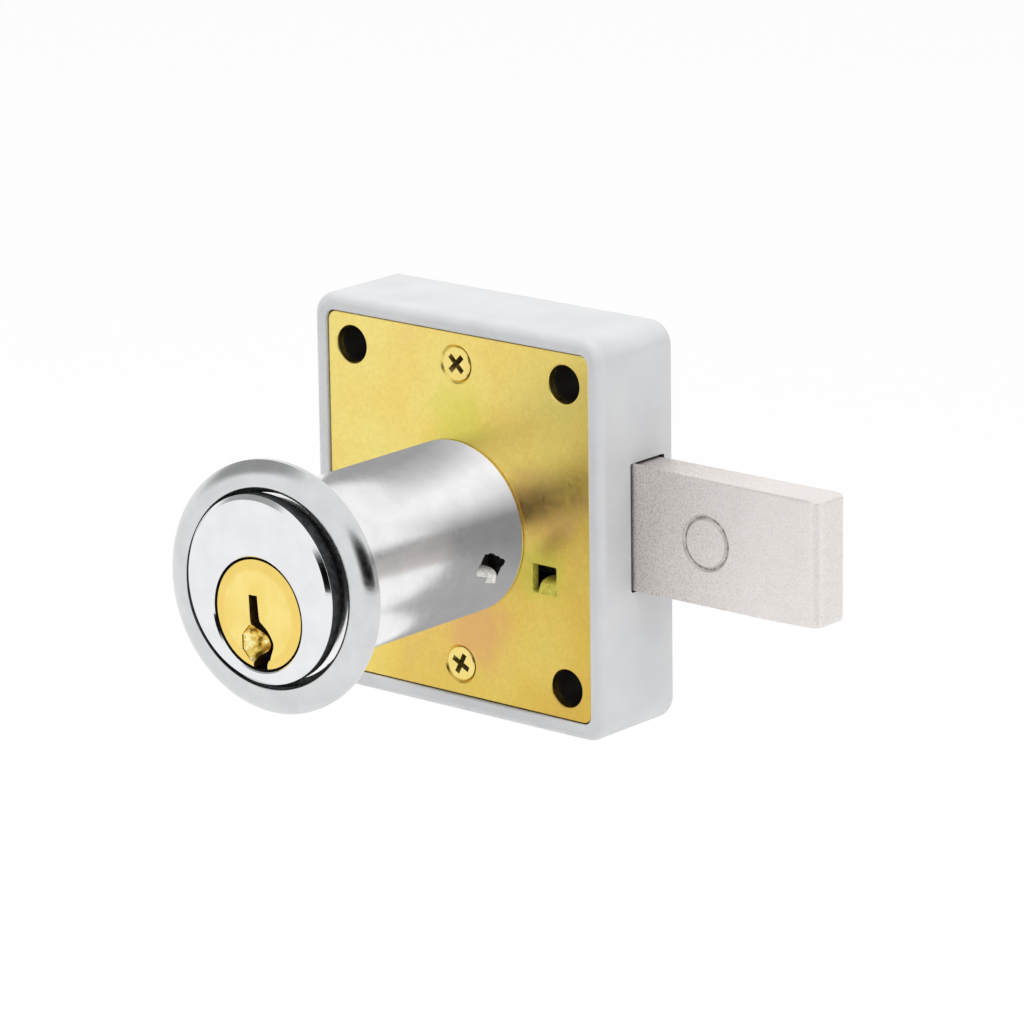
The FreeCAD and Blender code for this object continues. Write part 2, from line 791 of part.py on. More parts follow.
def make_rosette():
    """Loose rosette: a turned ring with a domed face, a lip and a seat; it hangs tilted behind the head."""
    body = new_body("rosette")
    bore = barrel_radius + s.rosette_bore_gap
    recess = head_radius + s.rosette_head_gap
    outer = barrel_radius + s.rosette_width
    lip = head_back - s.rosette_lead
    seat = lip + s.rosette_seat
    back = lip + s.rosette_depth
    rim_back = back - s.rosette_hub
    hollow_out = outer - s.rosette_rim
    hollow_in = hollow_out - s.rosette_hollow_width
    profile = outline(
        body, "rosette_profile", "XY_Plane", 0,
        [
            (bore, back),
            (bore, seat),
            (recess, seat),
            (recess, lip + s.rosette_lip / 2),
            (recess + s.rosette_lip, lip),
            (outer, rim_back - s.rosette_rim),
            (outer, rim_back),
            (hollow_out, rim_back),
            (hollow_in, rim_back - s.rosette_hollow),
            (hollow_in - s.rosette_rim, back),
        ],
        arcs={3: s.rosette_lip, 4: s.rosette_curve},
    )
    turned(body, profile)
    # The ring turns about the middle of its seat, which stays on the barrel's axis but for the small play
    axis = Vector(*ROSETTE_LEAN).normalize()
    place(
        body, s.rosette_aside - seat * axis.x, seat - seat * axis.y, -s.rosette_drop - seat * axis.z,
        Rotation(Y_WAY, axis),
    )
    sub_parts.append(body)


def make_plug():
    """Brass plug: bevelled face, body with keyway and pin chambers, journal and square tail."""
    body = new_body("plug")
    face_radius = s.plug_face_dia / 2
    profile = outline(
        body, "plug_profile", "XY_Plane", plug_z,
        [
            (0, plug_front),
            (face_radius - s.plug_face_bevel, plug_front),
            (face_radius, plug_front + s.plug_bevel_fall),
            (face_radius, plug_shoulder),
            (plug_radius, plug_shoulder),
            (plug_radius, body_end),
            (journal_radius, body_end),
            (journal_radius, arm_front),
            (0, arm_front),
        ],
    )
    turned(body, profile)
    half = s.drive_square / 2
    square = rectangle(
        body, "drive_square", "XZ_Plane", arm_front - s.turn_gap, -half, half, plug_z - half, plug_z + half
    )
    pad(body, square, s.arm_thick + s.turn_gap)
    keyway = outline(
        body, "keyway", "XZ_Plane", plug_front,
        [(across, plug_z + up) for across, up in KEYWAY],
        arcs=KEYWAY_BENDS,
    )
    pocket(body, keyway, s.key_depth)
    chambers = circles(
        body, "plug_chambers", "XY_Plane", plug_z + plug_radius + s.pin_dia, [(0, y) for y in pin_places],
        chamber_radius,
    )
    pocket(body, chambers, plug_radius + s.pin_dia, backward=True)
    dimple = body.newObject("PartDesign::SubtractiveCone", "key_dimple")
    before = body.Shape.Volume
    bind(dimple, "Radius1", s.dimple_dia / 2)
    bind(dimple, "Radius2", s.dimple_floor_dia / 2)
    bind(dimple, "Height", s.dimple_depth)
    place(dimple, KEY_DIMPLE[0], plug_front, plug_z + KEY_DIMPLE[1], TO_PLUS_Y)
    must_remove(body, dimple, before)
    screw_hole = circles(
        body, "tail_bore", "XZ_Plane", arm_back, [(0, plug_z)], s.tail_screw_dia / 2 + s.seat_gap
    )
    pocket(body, screw_hole, s.tail_bore_depth, backward=True)
    sub_parts.append(body)


def make_pins():
    """Key pins in the plug and driver pins in the housing, parted at the shear line."""
    for row, (y, length) in enumerate(zip(pin_places, KEY_PINS), start=1):
        name = "key_pin_%d" % row
        top = shear_z - s.pin_top_gap
        shank = rod(
            name + "_shank", pin_radius, length - s.pin_point, 0, y, top - length + s.pin_point, Rotation()
        )
        point = taper(
            name + "_point", s.pin_tip_dia / 2, pin_radius, s.pin_point, 0, y, top - length, Rotation()
        )
        sub_parts.append(fused(name, [shank, point]))
    for row, y in enumerate(pin_places, start=1):
        name = "driver_pin_%d" % row
        low = shear_z + s.turn_gap + s.shear_gap / 2
        edge = s.driver_bevel
        foot = taper(name + "_foot", pin_radius - edge, pin_radius, edge, 0, y, low, Rotation())
        shank = rod(name + "_shank", pin_radius, s.driver_length - 2 * edge, 0, y, low + edge, Rotation())
        head = taper(
            name + "_head", pin_radius, pin_radius - edge, edge, 0, y, low + s.driver_length - edge,
            Rotation(),
        )
        sub_parts.append(fused(name, [foot, shank, head]))


def make_pin_springs():
    """Coil springs over the driver pins, pressed down by the inside of the tube."""
    low = float(shear_z + s.turn_gap + s.shear_gap / 2 + s.driver_length)
    middle = (float(s.spring_dia) - float(s.spring_wire)) / 2
    wire = float(s.spring_wire) / 2
    roof = math.sqrt(float(tube_inner) ** 2 - float(s.spring_dia) ** 2 / 4)
    rise = roof - low - 2 * wire - 2 * float(s.seat_gap)
    coil = Part.makeHelix(rise / SPRING_TURNS, rise, middle)
    corners = []
    for side in range(WIRE_SIDES + 1):
        angle = 2 * math.pi * side / WIRE_SIDES
        corners.append(Vector(middle + wire * math.cos(angle), 0, wire * math.sin(angle)))
    shape = Part.Wire(coil.Edges).makePipeShell([Part.makePolygon(corners)], True, True)
    for row, y in enumerate(pin_places, start=1):
        spring = doc.addObject("Part::Feature", "pin_spring_%d" % row)
        spring.Label = spring.Name
        spring.Shape = shape.copy()
        start = Vector(0, float(y), low + wire + float(s.seat_gap))
        spring.Placement = Placement(start, Rotation())
        sub_parts.append(spring)


def make_drive():
    """Drive arm on the plug's square, its riveted pin, and the screw that holds the arm."""
    hub = rod("arm_hub", s.arm_hub_dia / 2, s.arm_thick, 0, arm_front, plug_z)
    tip = rod("arm_tip", s.arm_tip_dia / 2, s.arm_thick, pin_x, arm_front, pin_low)
    web = doc.addObject("Part::Box", "arm_web_block")
    bind(web, "Length", arm_radius)
    bind(web, "Width", s.arm_thick)
    bind(web, "Height", s.arm_web)
    lean = Rotation(Y_WAY, -arm_turn)
    drop = lean.multVec(Vector(0, 0, -1))
    place(web, drop.x * s.arm_web / 2, arm_front, plug_z + drop.z * s.arm_web / 2, lean)
    arm = fused("arm_solid", [hub, tip, web])
    half = s.drive_square / 2 + s.seat_gap
    square = block("arm_square", -half, half, arm_front, arm_back, plug_z - half, plug_z + half)
    rivet_hole = rod(
        "arm_pin_hole", drive_pin_radius + s.seat_gap, s.arm_thick, pin_x, arm_front, pin_low
    )
    notches = []
    for number, angle in enumerate((-90.0, -90.0 - float(s.arm_swing)), start=1):
        notch = doc.addObject("Part::Wedge", "hub_notch_%d" % number)
        bind(notch, "Xmin", -s.notch_half)
        bind(notch, "Xmax", s.notch_half)
        bind(notch, "X2min", 0)
        bind(notch, "X2max", 0)
        bind(notch, "Ymin", 0)
        bind(notch, "Ymax", s.notch_depth)
        bind(notch, "Zmin", 0)
        bind(notch, "Zmax", s.arm_thick)
        bind(notch, "Z2min", 0)
        bind(notch, "Z2max", s.arm_thick)
        way = Vector(math.cos(math.radians(angle)), 0, math.sin(math.radians(angle)))
        turn = Rotation(Y_WAY.cross(way), -way, Y_WAY, "XYZ")
        rim = s.arm_hub_dia / 2
        place(notch, way.x * rim, arm_front, plug_z + way.z * rim, turn)
        notches.append(notch)
    sub_parts.append(cut_away("drive_arm", arm, [square, rivet_hole] + notches))

    head = rod("drive_pin_head", s.rivet_dia / 2, s.rivet_thick, pin_x, arm_front - s.rivet_thick, pin_low)
    shank = rod(
        "drive_pin_shank", drive_pin_radius, s.arm_thick + s.drive_pin_reach, pin_x, arm_front, pin_low
    )
    sub_parts.append(fused("drive_pin", [head, shank]))

    screw_front = arm_back + s.seat_gap
    washer = rod("tail_screw_disc", s.tail_screw_head / 2, s.tail_screw_thick, 0, screw_front, plug_z)
    thread = rod(
        "tail_screw_thread", s.tail_screw_dia / 2, s.tail_screw_length, 0, screw_front, plug_z, TO_MINUS_Y
    )
    solid = fused("tail_screw_solid", [washer, thread])
    end = screw_front + s.tail_screw_thick
    wide = s.tail_screw_head / 2
    thin = s.tail_screw_slot / 2
    slot = block(
        "tail_screw_slot_cut", -wide, wide, end - s.tail_screw_thick / 2, end, plug_z - thin, plug_z + thin
    )
    sub_parts.append(cut_away("tail_screw", solid, [slot]))


def make_leaf_spring():
    """Leaf spring under the arm's hub, with a nose in the hub's notch."""
    body = new_body("detent_spring")
    nose_top = leaf_top + s.leaf_gap + s.notch_depth / 2
    foot = s.notch_half / 2 + s.leaf_thick
    points = [
        (-s.leaf_half_span, leaf_bottom),
        (-foot, leaf_bottom),
        (0, nose_top - s.leaf_thick),
        (foot, leaf_bottom),
        (s.leaf_half_span, leaf_bottom),
        (s.leaf_half_span, leaf_top),
        (foot - s.leaf_thick / 4, leaf_top),
        (0, nose_top),
        (s.leaf_thick / 4 - foot, leaf_top),
        (-s.leaf_half_span, leaf_top),
    ]
    strip = outline(body, "leaf_outline", "XZ_Plane", leaf_front, points)
    pad(body, strip, s.leaf_width)
    sub_parts.append(body)


def make_bolt():
    """Cast bolt: the bar that leaves the case, and the lug with the slot for the drive pin."""
    body = new_body("bolt")
    bar = outline(
        body, "bolt_outline", "XZ_Plane", s.bolt_front,
        [
            (bolt_tail, bolt_bottom),
            (s.bolt_reach, bolt_bottom),
            (s.bolt_reach, bolt_top),
            (lug_right, bolt_top),
            (lug_right, lug_top),
            (bolt_tail, lug_top),
        ],
    )
    pad(body, bar, s.bolt_thick)
    round_edges(
        body, "bolt_end_edges", s.bolt_end_round,
        lambda edge, middle: near(middle.x, s.bolt_reach) and along(edge, Z_WAY),
    )

    def long_edge(edge, middle):
        outside = middle.x > float(case_right)
        return outside and (near(middle.z, bolt_bottom) or near(middle.z, bolt_top))

    round_edges(body, "bolt_long_edges", s.bolt_edge_round, long_edge)
    slot = rectangle(
        body, "drive_slot", "XZ_Plane", s.bolt_front, pin_x - slot_half, pin_x + slot_half, slot_bottom,
        slot_top,
    )
    pocket(body, slot, s.bolt_thick)
    mark = new_sketch(body, "bolt_mark", "XZ_Plane", s.bolt_front)
    for index, radius in enumerate((s.mark_dia / 2, s.mark_dia / 2 - s.mark_ring)):
        centre = Vector(float(s.mark_place), float(s.bolt_lift), 0)
        mark.addGeometry(Part.Circle(centre, Vector(0, 0, 1), float(radius)))
        hold_point(mark, index, 3, s.mark_place, s.bolt_lift)
        held = mark.addConstraint(Sketcher.Constraint("Radius", index, float(radius)))
        mark.setExpression("Constraints[%d]" % held, radius.text)
    pocket(body, mark, s.mark_depth)
    sub_parts.append(body)


make_case()
make_cover_plate()
make_cover_screws()
make_housing()
make_tube()
make_clip()
make_rosette()
make_plug()
make_pins()
make_pin_springs()
make_drive()
make_leaf_spring()
make_bolt()
doc.recompute()

# Stop before writing anything if an object has failed
for thing in doc.Objects:
    if {"Invalid", "Error"} & set(thing.State):
        raise RuntimeError("%s failed: %s" % (thing.Name, thing.State))
for part in sub_parts:
    if part.Shape.isNull() or not part.Shape.isValid() or not part.Shape.Solids:
        raise RuntimeError(part.Label + " has no valid solid")

os.makedirs("parts", exist_ok=True)
for part in sub_parts:
    part.Shape.exportStep(os.path.join("parts", part.Label + ".step"))
    box = part.Shape.BoundBox
    print("%-18s %8.1f mm3  x %6.2f %6.2f  y %6.2f %6.2f  z %6.2f %6.2f" % (
        part.Label, part.Shape.Volume, box.XMin, box.XMax, box.YMin, box.YMax, box.ZMin, box.ZMax))
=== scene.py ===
import math

import bmesh
import bpy
from mathutils import Matrix, Vector


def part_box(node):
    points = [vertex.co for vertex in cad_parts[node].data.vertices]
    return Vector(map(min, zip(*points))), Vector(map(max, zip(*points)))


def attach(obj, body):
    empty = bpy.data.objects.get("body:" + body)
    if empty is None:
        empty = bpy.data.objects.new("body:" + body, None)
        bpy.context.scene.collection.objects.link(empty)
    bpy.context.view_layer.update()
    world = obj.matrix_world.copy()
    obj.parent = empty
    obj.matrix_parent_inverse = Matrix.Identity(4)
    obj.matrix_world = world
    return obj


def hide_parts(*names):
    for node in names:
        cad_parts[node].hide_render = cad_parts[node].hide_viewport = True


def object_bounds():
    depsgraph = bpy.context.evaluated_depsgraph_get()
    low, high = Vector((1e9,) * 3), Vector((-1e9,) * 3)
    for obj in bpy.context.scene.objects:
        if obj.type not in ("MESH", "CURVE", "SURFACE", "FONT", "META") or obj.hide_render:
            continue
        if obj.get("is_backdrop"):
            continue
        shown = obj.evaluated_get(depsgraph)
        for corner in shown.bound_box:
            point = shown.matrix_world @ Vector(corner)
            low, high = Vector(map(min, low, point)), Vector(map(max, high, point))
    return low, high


# A furniture lock in the order of its assembly. X is the way the bolt is thrown, Y runs from the key
# into the case and Z is up, as in the frame. Sizes are in metres, written as millimetres times MM.
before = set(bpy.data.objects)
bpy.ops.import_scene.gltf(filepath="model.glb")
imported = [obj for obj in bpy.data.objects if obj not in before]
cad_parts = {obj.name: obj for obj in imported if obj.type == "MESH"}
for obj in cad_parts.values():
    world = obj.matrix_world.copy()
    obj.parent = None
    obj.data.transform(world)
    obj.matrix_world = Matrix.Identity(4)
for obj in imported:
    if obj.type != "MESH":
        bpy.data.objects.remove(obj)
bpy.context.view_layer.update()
MM = 0.001


# Case
# A zinc die casting with soft edges, painted satin silver grey outside, raw and in painted shade inside.
# It is open towards the door, where the cover plate is let into its rim, and the bolt leaves at its right.

def linear(code):
    """A colour's sRGB hex code as linear red, green, blue and alpha."""
    shares = [int(code[start:start + 2], 16) / 255 for start in (1, 3, 5)]
    return (*[c / 12.92 if c <= 0.04045 else ((c + 0.055) / 1.055) ** 2.4 for c in shares], 1.0)


def add_node(tree, kind, settings=None, inputs=None, stops=()):
    """Adds a node. An input takes a value or another node's output; stops are a ramp's places and colours."""
    node = tree.nodes.new(kind)
    for name, value in (settings or {}).items():
        setattr(node, name, value)
    for name, value in (inputs or {}).items():
        if isinstance(value, bpy.types.NodeSocket):
            tree.links.new(value, node.inputs[name])
        else:
            node.inputs[name].default_value = value
    for number, (position, code) in enumerate(stops):
        if number > 1:
            node.color_ramp.elements.new(position)
        node.color_ramp.elements[number].position = position
        node.color_ramp.elements[number].color = linear(code)
    return node


def new_finish(name, metallic, roughness):
    """A material, its tree and shader, and the place on the piece that its patterns follow."""
    finish = bpy.data.materials.new(name)
    finish.use_nodes = True
    tree = finish.node_tree
    shader = tree.nodes["Principled BSDF"]
    shader.inputs["Metallic"].default_value = metallic
    shader.inputs["Roughness"].default_value = roughness
    place = add_node(tree, "ShaderNodeTexCoord").outputs["Object"]
    return finish, tree, shader, place


def grain(tree, place, size, detail=3.0, roughness=0.5):
    """Noise whose lumps are about size across, from 0 to 1."""
    inputs = {"Vector": place, "Scale": 1 / size, "Detail": detail, "Roughness": roughness}
    return add_node(tree, "ShaderNodeTexNoise", inputs=inputs).outputs["Fac"]


def spread(tree, source, low, high, start=0.3, end=0.7):
    """Turns a pattern's middle range into values from low to high."""
    inputs = {"Value": source, "From Min": start, "From Max": end, "To Min": low, "To Max": high}
    return add_node(tree, "ShaderNodeMapRange", inputs=inputs).outputs["Result"]


def tinted(tree, shader, pattern, stops):
    """Colours a shader by a pattern, through a ramp's stops."""
    colours = add_node(tree, "ShaderNodeValToRGB", inputs={"Fac": pattern}, stops=stops)
    tree.links.new(colours.outputs["Color"], shader.inputs["Base Color"])


def roughened(tree, shader, pattern, low, high):
    """Lets a shader's roughness follow a pattern, from low to high."""
    tree.links.new(spread(tree, pattern, low, high), shader.inputs["Roughness"])


def relief(tree, shader, *layers):
    """Bumps on a shader; each layer is a height from 0 to 1 and its depth."""
    normal = None
    for height, depth in layers:
        inputs = {"Height": height, "Distance": depth, "Strength": 1.0}
        if normal is not None:
            inputs["Normal"] = normal
        normal = add_node(tree, "ShaderNodeBump", inputs=inputs).outputs["Normal"]
    tree.links.new(normal, shader.inputs["Normal"])


def grained(name, metallic, roughness, lump, stops, bump, depth):
    """A finish whose colour changes in lumps of one size, under bumps of another size and of a depth."""
    finish, tree, shader, place = new_finish(name, metallic, roughness)
    tinted(tree, shader, grain(tree, place, lump), stops)
    relief(tree, shader, (grain(tree, place, bump), depth))
    return finish


def new_piece(name, points, faces, finish):
    """A mesh object; its faces are turned outward."""
    mesh = bpy.data.meshes.new(name)
    mesh.from_pydata([tuple(point) for point in points], [], faces)
    build = bmesh.new()
    build.from_mesh(mesh)
    bmesh.ops.remove_doubles(build, verts=build.verts, dist=0.0001 * MM)
    bmesh.ops.recalc_face_normals(build, faces=build.faces)
    build.to_mesh(mesh)
    build.free()
    mesh.materials.append(finish)
    piece = bpy.data.objects.new(name, mesh)
    bpy.context.scene.collection.objects.link(piece)
    return piece


def rounded_rectangle(low, high, radius, steps=12):
    """Points round a rectangle between two corners, with round corners."""
    points = []
    corners = ((high[0], high[1]), (low[0], high[1]), (low[0], low[1]), (high[0], low[1]))
    for quarter, (across, upward) in enumerate(corners):
        inward = (radius if across == low[0] else -radius, radius if upward == low[1] else -radius)
        for step in range(steps + 1):
            angle = math.radians(90 * (quarter + step / steps))
            points.append((across + inward[0] + radius * math.cos(angle),
                           upward + inward[1] + radius * math.sin(angle)))
    return points


def stacked(name, rings, finish):
    """A closed piece through rings of equally many points, with both ends filled."""
    count = len(rings[0])
    points = [point for ring in rings for point in ring]
    faces = [list(range(count)), list(range(len(points) - count, len(points)))]
    for level in range(len(rings) - 1):
        start = level * count
        for step in range(count):
            after = (step + 1) % count
            faces.append([start + step, start + after, start + count + after, start + count + step])
    return new_piece(name, points, faces, finish)


def turned(name, profile, finish, steps=192, middle=(0, 0)):
    """A piece turned round an axis along Y; profile lists radius and y, from axis to axis or closed."""
    closed = profile[0][0] > 0
    points = []
    for radius, y in profile:
        for step in range(steps):
            angle = 2 * math.pi * step / steps
            points.append((middle[0] + radius * math.cos(angle), y, middle[1] + radius * math.sin(angle)))
    faces = []
    for level in range(len(profile) if closed else len(profile) - 1):
        upper = (level + 1) % len(profile)
        for step in range(steps):
            after = (step + 1) % steps
            faces.append([level * steps + step, level * steps + after,
                          upper * steps + after, upper * steps + step])
    return new_piece(name, points, faces, finish)


def settle(piece):
    """Makes the outcome of a piece's modifiers its plain mesh."""
    view = bpy.context.evaluated_depsgraph_get()
    mesh = bpy.data.meshes.new_from_object(piece.evaluated_get(view))
    piece.modifiers.clear()
    piece.data = mesh
    mesh.name = piece.name


def combine(piece, tools, way="DIFFERENCE"):
    """Cuts tools out of a piece, or joins them to it, in millimetres, and merges the points left double."""
    for shape in (piece, *tools):
        shape.data.transform(Matrix.Scale(1 / MM, 4))
    for tool in tools:
        change = piece.modifiers.new("change", "BOOLEAN")
        change.operation = way
        change.solver = "EXACT"
        change.material_mode = "TRANSFER"
        change.object = tool
        settle(piece)
    merge_within = 0.001
    build = bmesh.new()
    build.from_mesh(piece.data)
    bmesh.ops.remove_doubles(build, verts=build.verts, dist=merge_within)
    bmesh.ops.dissolve_degenerate(build, edges=build.edges, dist=merge_within)
    build.to_mesh(piece.data)
    build.free()
    piece.data.transform(Matrix.Scale(MM, 4))
    for tool in tools:
        bpy.data.objects.remove(tool)


def smooth(piece, angle=32):
    """Shades a piece smooth, but for its flat faces and for the edges sharper than an angle in degrees."""
    piece.data.shade_smooth()
    piece.data.set_sharp_from_angle(angle=math.radians(angle))
    weights = piece.modifiers.new("weights", "WEIGHTED_NORMAL")
    weights.keep_sharp = True
    settle(piece)


def finished(piece, body, slot, *nodes, angle=32):
    """Shades a piece, fixes it to its body and lets it stand for its CAD nodes."""
    smooth(piece, angle)
    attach(piece, body)
    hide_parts(*nodes)


def repaint(piece, finish, test):
    """Gives a finish to the faces whose middle, distance from the barrel's axis and normal pass a test."""
    if finish.name not in piece.data.materials:
        piece.data.materials.append(finish)
    number = piece.data.materials.find(finish.name)
    for face in piece.data.polygons:
        if test(face.center, math.hypot(face.center.x, face.center.z), face.normal):
            face.material_index = number


def block(name, low, high, finish):
    """A block between two corners, used to cut and to join."""
    ring = [(high[0], high[2]), (low[0], high[2]), (low[0], low[2]), (high[0], low[2])]
    return stacked(name, [[(x, y, z) for x, z in ring] for y in (low[1], high[1])], finish)


# Satin silver-grey paint on a casting: pale and soft, with a faint orange peel and slow sink waves.
painted_casting, tree, shader, place = new_finish("painted_casting", 0.12, 0.48)
tinted(tree, shader, grain(tree, place, 6 * MM), ((0.3, "#cdced0"), (0.7, "#d5d6d7")))
roughened(tree, shader, grain(tree, place, 1.5 * MM), 0.44, 0.54)
relief(tree, shader, (grain(tree, place, 9 * MM, 1.0), 0.1 * MM), (grain(tree, place, 0.5 * MM), 0.005 * MM))

# Raw casting where no paint reaches: dull zinc, painted dark brown for the shade inside the case.
shaded_raw_casting = grained("shaded_raw_casting", 0.2, 0.6, 1.2 * MM,
                      ((0.3, "#191610"), (0.7, "#262218")), 0.6 * MM, 0.03 * MM)

case_low, case_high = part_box("case")
case_middle = (case_low + case_high) / 2
case_corner = 3.1 * MM
edge_round = 1.2 * MM
case_wall = 2.1 * MM
case_back = 2.0 * MM
inner_low = case_low + Vector((case_wall, 0, case_wall))
inner_high = case_high - Vector((case_wall, case_back, case_wall))
rim_roll = 0.22 * MM
cavity_corner = 1.3 * MM
hole_inset = (6.1 * MM, 6.2 * MM)
hole_columns = (case_low.x + hole_inset[0], case_high.x - hole_inset[0])
hole_rows = (case_low.z + hole_inset[1], case_high.z - hole_inset[1])
hole_radius = 2.4 * MM
pillar_radius = 4.2 * MM
boss_radius = 3.0 * MM
sink_radius = 4.1 * MM
sink_start = case_high.y - (sink_radius - hole_radius)
tap_radius = 1.28 * MM
tap_end = 10.6 * MM
plate_low, plate_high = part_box("cover_plate")
plate_thick = 1.2 * MM
plate_back = plate_low.y + plate_thick
bolt_low, bolt_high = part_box("bolt")
bar_height = 15.8 * MM
bolt_bar_top = bolt_low.z + bar_height
slide_gap = 0.15 * MM
margin = 0.1 * MM
end_angles = [math.radians(90 * step / 8) for step in range(9)]


def outline_at(low, high, corner, inset, y):
    """A round-cornered outline at a depth, set in from the sides of a box; below 0, inset makes it larger."""
    sides = (low.x + inset, low.z + inset), (high.x - inset, high.z - inset)
    return [(x, y, z) for x, z in rounded_rectangle(*sides, corner - inset)]


def rounded_front(low, high, corner, front, size):
    """Outlines that round the front edge of a box."""
    return [outline_at(low, high, corner, size * (1 - math.sin(a)), front + size * (1 - math.cos(a)))
            for a in end_angles]


back_rings = [outline_at(case_low, case_high, case_corner, edge_round * (1 - math.cos(a)),
                         case_high.y - edge_round * (1 - math.sin(a))) for a in end_angles]
case_rings = rounded_front(case_low, case_high, case_corner, 0, edge_round) + back_rings
case = stacked("case", case_rings, painted_casting)

cavity = (inner_low, inner_high, cavity_corner)
lip_end = plate_low.y + 0.2 * MM
cavity_rings = [outline_at(*cavity, -rim_roll, -MM)]
cavity_rings += [outline_at(*cavity, -rim_roll * (1 - math.cos(a)), rim_roll * (1 - math.sin(a)))
                 for a in reversed(end_angles)]
cavity_rings += [outline_at(*cavity, 0, lip_end), outline_at(*cavity, 0, inner_high.y)]
combine(case, [stacked("cavity", cavity_rings, shaded_raw_casting)])


def post(name, x, z, radius, low_y, high_y, finish):
    """A plain round post along Y."""
    return turned(name, [(0, low_y), (radius, low_y), (radius, high_y), (0, high_y)], finish, 48, (x, z))


# What stands on the case's back wall reaches a little into it
root = inner_high.y + MM
posts = [post("pillar", x, z, pillar_radius, plate_back, root, shaded_raw_casting)
         for x in hole_columns for z in hole_rows]
posts += [post("boss", case_middle.x, z, boss_radius, plate_back, root, shaded_raw_casting) for z in hole_rows]
rail_height = 1.2 * MM
rail_inset = 3.6 * MM
guide_gap = 0.1 * MM
guide_front, rest_front = 7 * MM, bolt_high.y + guide_gap
for level, front in ((bolt_low.z - guide_gap - rail_height, guide_front),
                     (bolt_high.z + guide_gap, guide_front), (bolt_low.z + rail_inset, rest_front),
                     (bolt_bar_top - rail_inset - rail_height, rest_front)):
    posts.append(block("rail", (inner_low.x - MM, front, level),
                       (inner_high.x + MM, root, level + rail_height), shaded_raw_casting))
leaf_low, leaf_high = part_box("detent_spring")
post_half = 1.5 * MM
post_height = 3.4 * MM
post_top = leaf_high.z + 1.2 * MM
for middle in (leaf_low.x, leaf_high.x):
    posts.append(block("spring_post", (middle - post_half, leaf_low.y - slide_gap, post_top - post_height),
                       (middle + post_half, root, post_top), shaded_raw_casting))
combine(case, posts, "UNION")

cuts = []
slot_roll = 0.15 * MM
slot_corner = 0.3 * MM
slot_rings = []
for x, grow in ((inner_high.x - MM, 0), (case_high.x - slot_roll, 0), (case_high.x, slot_roll),
                (case_high.x + MM, MM)):
    low = (bolt_low.y - slide_gap - grow, bolt_low.z - slide_gap - grow)
    high = (bolt_high.y + slide_gap + grow, bolt_bar_top + slide_gap + grow)
    slot_rings.append([(x, y, z) for y, z in rounded_rectangle(low, high, slot_corner, steps=4)])
cuts.append(stacked("bolt_slot", slot_rings, shaded_raw_casting))
slit_gap = 0.03 * MM
slit_height = 0.38 * MM
cuts.append(block("leaf_slit", (leaf_low.x - slit_gap, leaf_low.y - MM, leaf_low.z - slit_gap),
                  (leaf_high.x + slit_gap, leaf_high.y + slit_gap, leaf_low.z + slit_height), shaded_raw_casting))
hole_profile = [(0, -MM), (hole_radius, -MM), (hole_radius, sink_start), (sink_radius, case_high.y),
                (sink_radius + MM, case_high.y + MM), (0, case_high.y + MM)]
cuts += [turned("fixing_hole", hole_profile, shaded_raw_casting, 64, (x, z))
         for x in hole_columns for z in hole_rows]
cuts += [post("tapped_hole", case_middle.x, z, tap_radius, MM, tap_end, shaded_raw_casting) for z in hole_rows]
combine(case, cuts)
# The paint reaches round the rim down to the plate, and into the countersinks at the back
bare_end = sink_start + margin
repaint(case, painted_casting, lambda middle, radius, normal: not lip_end < middle.y < bare_end)
finished(case, "lock_case", "cast_grey", "case", angle=28)


# Leaf spring
# A strip of spring steel under the arm's hub, with its ends in slits of two cast posts.
# Its nose clicks into two notches of the hub, so that the bolt stays thrown or drawn.

def dress(finish, *nodes):
    """Gives CAD nodes, whose shapes are right as they are, a finish."""
    for node in nodes:
        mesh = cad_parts[node].data
        mesh.materials.clear()
        mesh.materials.append(finish)


# Blued spring steel: dark, a little brown, with a faint grain.
spring_steel = grained("spring_steel", 1.0, 0.32, 1.0 * MM,
                       ((0.3, "#5d5a57"), (0.7, "#7b7876")), 0.2 * MM, 0.002 * MM)
dress(spring_steel, "detent_spring", "barrel_clip")


# Bolt
# A die-cast zinc bar with a satin nickel finish, tumbled before plating so that its edges are soft.
# Its lug inside the case holds the slot for the drive pin, and an ejector left its round mark on the front.

# Satin nickel on a tumbled casting: warm, pale, speckled by tiny dents, with painted shade near the case.
satin_nickel, tree, shader, place = new_finish("satin_nickel", 0.85, 0.5)
speckle = grain(tree, place, 0.22 * MM, 4.0, 0.6)
tint = add_node(tree, "ShaderNodeValToRGB", inputs={"Fac": speckle},
                stops=((0.3, "#e4dedb"), (0.6, "#f3efec")))
# Painted shade: towards the case the nickel turns to a darker copy of its speckle, along a ragged line
along = add_node(tree, "ShaderNodeSeparateXYZ", inputs={"Vector": place}).outputs["X"]
cloud = add_node(tree, "ShaderNodeMath", {"operation": "MULTIPLY_ADD"},
                 {0: grain(tree, place, 7 * MM, 3.0), 1: 9 * MM, 2: along}).outputs["Value"]
near_case_shade = spread(tree, cloud, 0.6, 0.0, 30 * MM, 47 * MM)
shaded_speckle = add_node(tree, "ShaderNodeValToRGB", inputs={"Fac": speckle},
                  stops=((0.36, "#9d928e"), (0.53, "#dcd4d1")))
speckle_with_shade = add_node(tree, "ShaderNodeMix", {"data_type": "RGBA"},
                {0: near_case_shade, 6: tint.outputs["Color"], 7: shaded_speckle.outputs["Color"]})
mark_radius = 3.25 * MM
mark_place = (35 * MM, (bolt_low.z + bolt_bar_top) / 2)
away = add_node(tree, "ShaderNodeVectorMath", {"operation": "DISTANCE"},
                {0: place, 1: (mark_place[0], bolt_low.y, mark_place[1])}).outputs["Value"]
beyond = add_node(tree, "ShaderNodeMath", {"operation": "SUBTRACT"}, {0: away, 1: mark_radius})
off_groove = add_node(tree, "ShaderNodeMath", {"operation": "ABSOLUTE"}, {0: beyond.outputs["Value"]})
